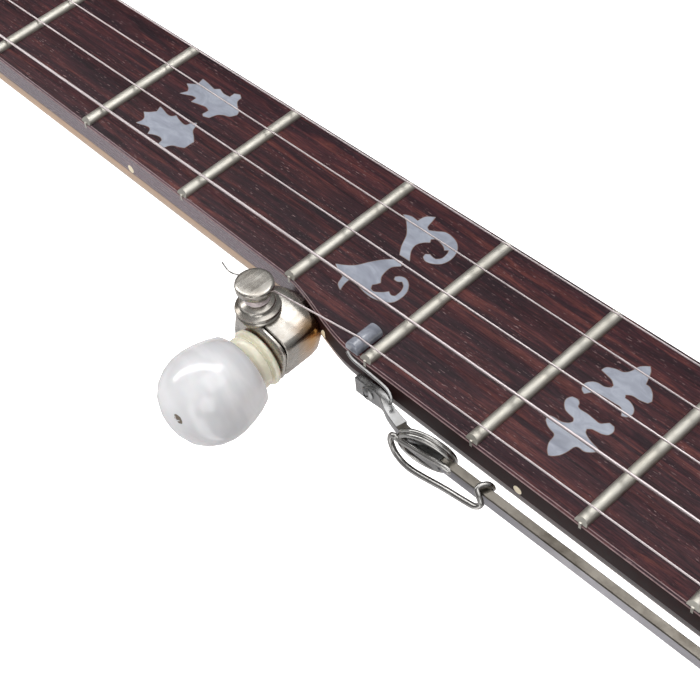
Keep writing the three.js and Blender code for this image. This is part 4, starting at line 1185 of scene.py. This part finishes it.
# three feet and two arches, thinner towards the top; (y, z) of the +Y half
FEET_Z = 92.6
arch = [(7, FEET_Z), (8, 94.6), (12, 98.6), (15.5, 100.2), (19, 98.6), (21.4, 94.6),
        (22, FEET_Z), (34, FEET_Z)]
side = [(33.4, 95), (30.4, 98.5), (28.6, 102), (28.4, 105.7)]
bridge = prism(flipped(arch) + arch + side + flipped(side), -1.7, 1.7)
upright = Matrix(((0, 0, 1, 0), (1, 0, 0, 0), (0, 1, 0, 0), (0, 0, 0, 1)))
bmesh.ops.transform(bridge, matrix=move(BRIDGE_X, 0, 0) @ upright, verts=bridge.verts)
for v in bridge.verts:
    v.co.x = BRIDGE_X + (v.co.x - BRIDGE_X) * (1 - 0.42 * (v.co.z - FEET_Z) / 13)
piece("bridge_maple", bridge, "maple", "bridge", bevel=0.25)
bridge_ys = [bridge_y for _, bridge_y, _ in STRINGS.values()]
top = box(BRIDGE_X - 1, BRIDGE_X + 1, -28.4, 28.4, 105.7, 107.4)
for y in bridge_ys + [FIFTH_BRIDGE_Y]:
    top = boolean(top, box(20, 28, y - 0.28, y + 0.28, 107.15, 110))
piece("bridge_top", top, "ebony", bevel=0.2)

# ---------------------------------------------------------------- tailpiece
# a formed bracket over the hoop and a hinged lid
bracket = box(121.5, 152.8, -16, 16, 97.6, 98.7)
bracket = boolean(bracket, box(151.4, 152.8, -9, 9, 69.5, 98.2), "UNION")
bracket = boolean(bracket, box(121.5, 122.9, -16, 16, 98, 102.2), "UNION")
for y in [y * 0.63 for y in bridge_ys] + [-13.9]:
    bracket = boolean(bracket, box(120, 124, y - 0.5, y + 0.5, 100.2, 104))
piece("tailpiece_base", bracket, "bright", "tailpiece_bracket", bevel=0.35)
lid = smooth_closed([
    (124.4, -15.4), (124.0, -8), (123.6, 0), (124.0, 8), (124.4, 15.4), (134, 14.6),
    (142, 15.4), (149.2, 15.4), (149.2, -15.4), (142, -15.4), (134, -14.6),
], 3, 40)
piece("tailpiece_lid_plate", prism(lid, 103.2, 104.2), "bright", "tailpiece_lid",
      body="tailpiece_lid", bevel=0.35)
rib = prism([(x * 0.62 + 51.6, y * 0.62) for x, y in lid], 104.1, 104.7)
piece("tailpiece_lid_rib", rib, "bright", body="tailpiece_lid", bevel=0.3)
hinge = [(0, -15.6), (1.2, -15.6), (1.5, -15.2), (1.5, 15.2), (1.2, 15.6), (0, 15.6)]
piece("tailpiece_hinge", lathe(hinge, 24), "bright", body="tailpiece_lid",
      place=move(149.5, 0, 102.7) @ turn("X", 90))
for letter, y in (("a", -16.4), ("b", 16.4)):
    ear = box(147.4, 152.4, y - 0.6, y + 0.6, 97.8, 104.2)
    piece(f"tailpiece_ear_{letter}", ear, "bright", bevel=0.3)
for i, y in enumerate((13.2, 6.7, 0.6, -6.6, -13.9)):
    loop = [(132.6 - 1.6 * cos(t), y + 1.1 * sin(t), 100.6) for t in steps(0, 2 * pi - 0.3, 0.35)]
    piece(f"string_loop_{i + 1}", wire(loop, 0.2, 8), "string")
    pin = lathe([(0, 98.5), (0.8, 98.5), (0.8, 101.2), (0.5, 101.6), (0, 101.7)], 16)
    piece(f"string_pin_{i + 1}", pin, "bright", place=move(132.7, y, 0))
bolt = [(0, 0), (2.4, 0), (4.3, 0.1), (4.3, 4.0), (3.8, 4.6), (2.6, 4.6), (2.6, 8.4), (2.0, 9),
        (0, 9)]
piece("tailpiece_nut", lathe(bolt, 6), "bright", "tailpiece_bolt", body="tailpiece_bolt",
      bevel=0.25, place=move(153.1, 0, 76) @ turn("Y", 90), angle=25)

# ---------------------------------------------------------------- armrest
# a curved plate with a rolled lip on two legs
plate = arc_sweep([
    (146, 99.4), (147, 99.1), (160, 99.3), (172, 98.6), (176.6, 96.8), (178.0, 93.8),
    (178.8, 93.8), (178.9, 95.0), (177.6, 98.0), (172.6, 100.2), (160, 101.0), (147, 100.9),
    (146, 100.5),
], -84, -36, 2)
piece("armrest_plate", plate, "bright", "armrest", bevel=0.3)
for i, angle in enumerate((-67.5, -52.5)):
    around = turn("Z", angle)
    piece(f"armrest_leg_{i + 1}", box(155.6, 157.4, -4.2, 4.2, 67.0, 99.8), "bright",
          bevel=0.5, place=around)
    piece(f"armrest_leg_screw_{i + 1}", screw(1.3), "bright",
          place=around @ move(157.2, 0, 78) @ turn("Y", 90))

# ---------------------------------------------------------------- floor (metres from here on)
# white to the camera; reflections see it darker, but for a glowing sector seen from the neck, a
# painted reflection that puts a bright strip on the fifth-string peg's button
m = Material("floor_white")
rays = m.node("LightPath", {}).outputs
m.set(Base_Color=m.mix((0.93, 0.93, 0.93), (0.55, 0.55, 0.56), share=rays["Is Glossy Ray"]),
      Roughness=0.9, Emission_Color=(1, 1, 1, 1))
axes = m.axes()
# painted reflection: the sector glows only for glossy rays
azimuth = m.maths("ARCTAN2", m.maths("ADD", axes["Y"], 0.05), m.maths("ADD", axes["X"], 0.47))
rise = m.spread(azimuth, low=-1.52, high=-1.38)
fall = m.spread(azimuth, low=-0.96, high=-0.82, to_low=1.0, to_high=0.0)
sector = m.maths("MULTIPLY", m.maths("MULTIPLY", rise, fall), 1.3)
glow = m.maths("MULTIPLY", rays["Is Glossy Ray"], m.maths("ADD", sector, 0.12))
seen = m.maths("MULTIPLY", rays["Is Camera Ray"], 0.72)
m.set(Emission_Strength=m.maths("ADD", seen, glow))
bm = bmesh.new()
bmesh.ops.create_grid(bm, x_segments=1, y_segments=1, size=30)
mesh = bpy.data.meshes.new("floor")
bm.to_mesh(mesh)
bm.free()
mesh.materials.append(m.data)
floor = bpy.data.objects.new("floor", mesh)
floor.location = (0, 0, -0.0004)
bpy.context.scene.collection.objects.link(floor)

# ---------------------------------------------------------------- world
# white to the camera, greys by height to everything else
world = bpy.data.worlds.new("studio")
bpy.context.scene.world = world
world.use_nodes = True
sky = Nodes(world.node_tree, "Generated")
height = sky.spread(sky.axes()["Z"], low=-1.0, high=1.0)
greys = sky.ramp(height, [(0.5, 0.42), (0.56, 0.16), (0.66, 0.18), (0.76, 0.34),
                          (1.0, (0.5, 0.5, 0.51))])
to_camera = sky.node("LightPath", {}).outputs["Is Camera Ray"]
background = sky.tree.nodes["Background"]
sky.feed(background.inputs["Color"], sky.mix(greys, (1, 1, 1), share=to_camera))
background.inputs["Strength"].default_value = 1.0

# ---------------------------------------------------------------- lights
FOCUS = Vector((-0.47, 0.0, 0.1))


def aim(location, target):
    return (Vector(target) - Vector(location)).to_track_quat("-Z", "Y").to_euler()


def area(name, location, rotation, size, energy, size_y=None):
    light = bpy.data.lights.new(name, "AREA")
    light.shape = "RECTANGLE"
    light.size, light.size_y, light.energy = size, size_y or size, energy
    obj = bpy.data.objects.new(name, light)
    obj.location = location
    obj.rotation_euler = rotation
    bpy.context.scene.collection.objects.link(obj)
    return obj


KEY, FILL, SIDE = (-0.85, -0.95, 1.3), (0.9, -1.2, 1.2), (-0.25, -1.45, 0.38)
STRIP, TOP = (-1.0, 0.05, 0.86), (0.0, 0.2, 1.8)
area("key", KEY, aim(KEY, FOCUS), size=0.8, energy=7.5).visible_glossy = False
area("fill", FILL, aim(FILL, FOCUS), size=1.2, energy=8)
# a long high softbox, its length turned along a chosen direction, and a low one on the -Y side
strip_z = (Vector(STRIP) - FOCUS).normalized()
strip_x = Vector((1.45, 1.5, 0.75))
strip_x = (strip_x - strip_z * strip_x.dot(strip_z)).normalized()
strip_turn = Matrix((strip_x, strip_z.cross(strip_x), strip_z)).transposed().to_euler()
area("strip", STRIP, strip_turn, size=1.9, energy=6.5, size_y=0.27)
area("side", SIDE, aim(SIDE, FOCUS), size=0.42, energy=1.6, size_y=0.7)
area("top", TOP, aim(TOP, (0, 0, 0.1)), size=1.4, energy=11)

# ---------------------------------------------------------------- camera
camera = bpy.data.cameras.new("cam")
camera.lens, camera.sensor_width, camera.sensor_fit = 88.41, 36.0, "HORIZONTAL"
camera.clip_start, camera.clip_end = 0.01, 100
view = bpy.data.objects.new("cam", camera)
right = Vector((0.69733, 0.71298, -0.07341))
down = Vector((0.51422, -0.56900, -0.64173))
forward = Vector((-0.49931, 0.40975, -0.76341))
pose = Matrix((right, -down, -forward)).transposed().to_4x4()
pose.translation = from_nut(328.875, -158.903, 153.489 + BOARD_Z) / 1000
view.matrix_world = pose
bpy.context.scene.collection.objects.link(view)
bpy.context.scene.camera = view
bpy.context.scene.view_settings.view_transform = "Standard"
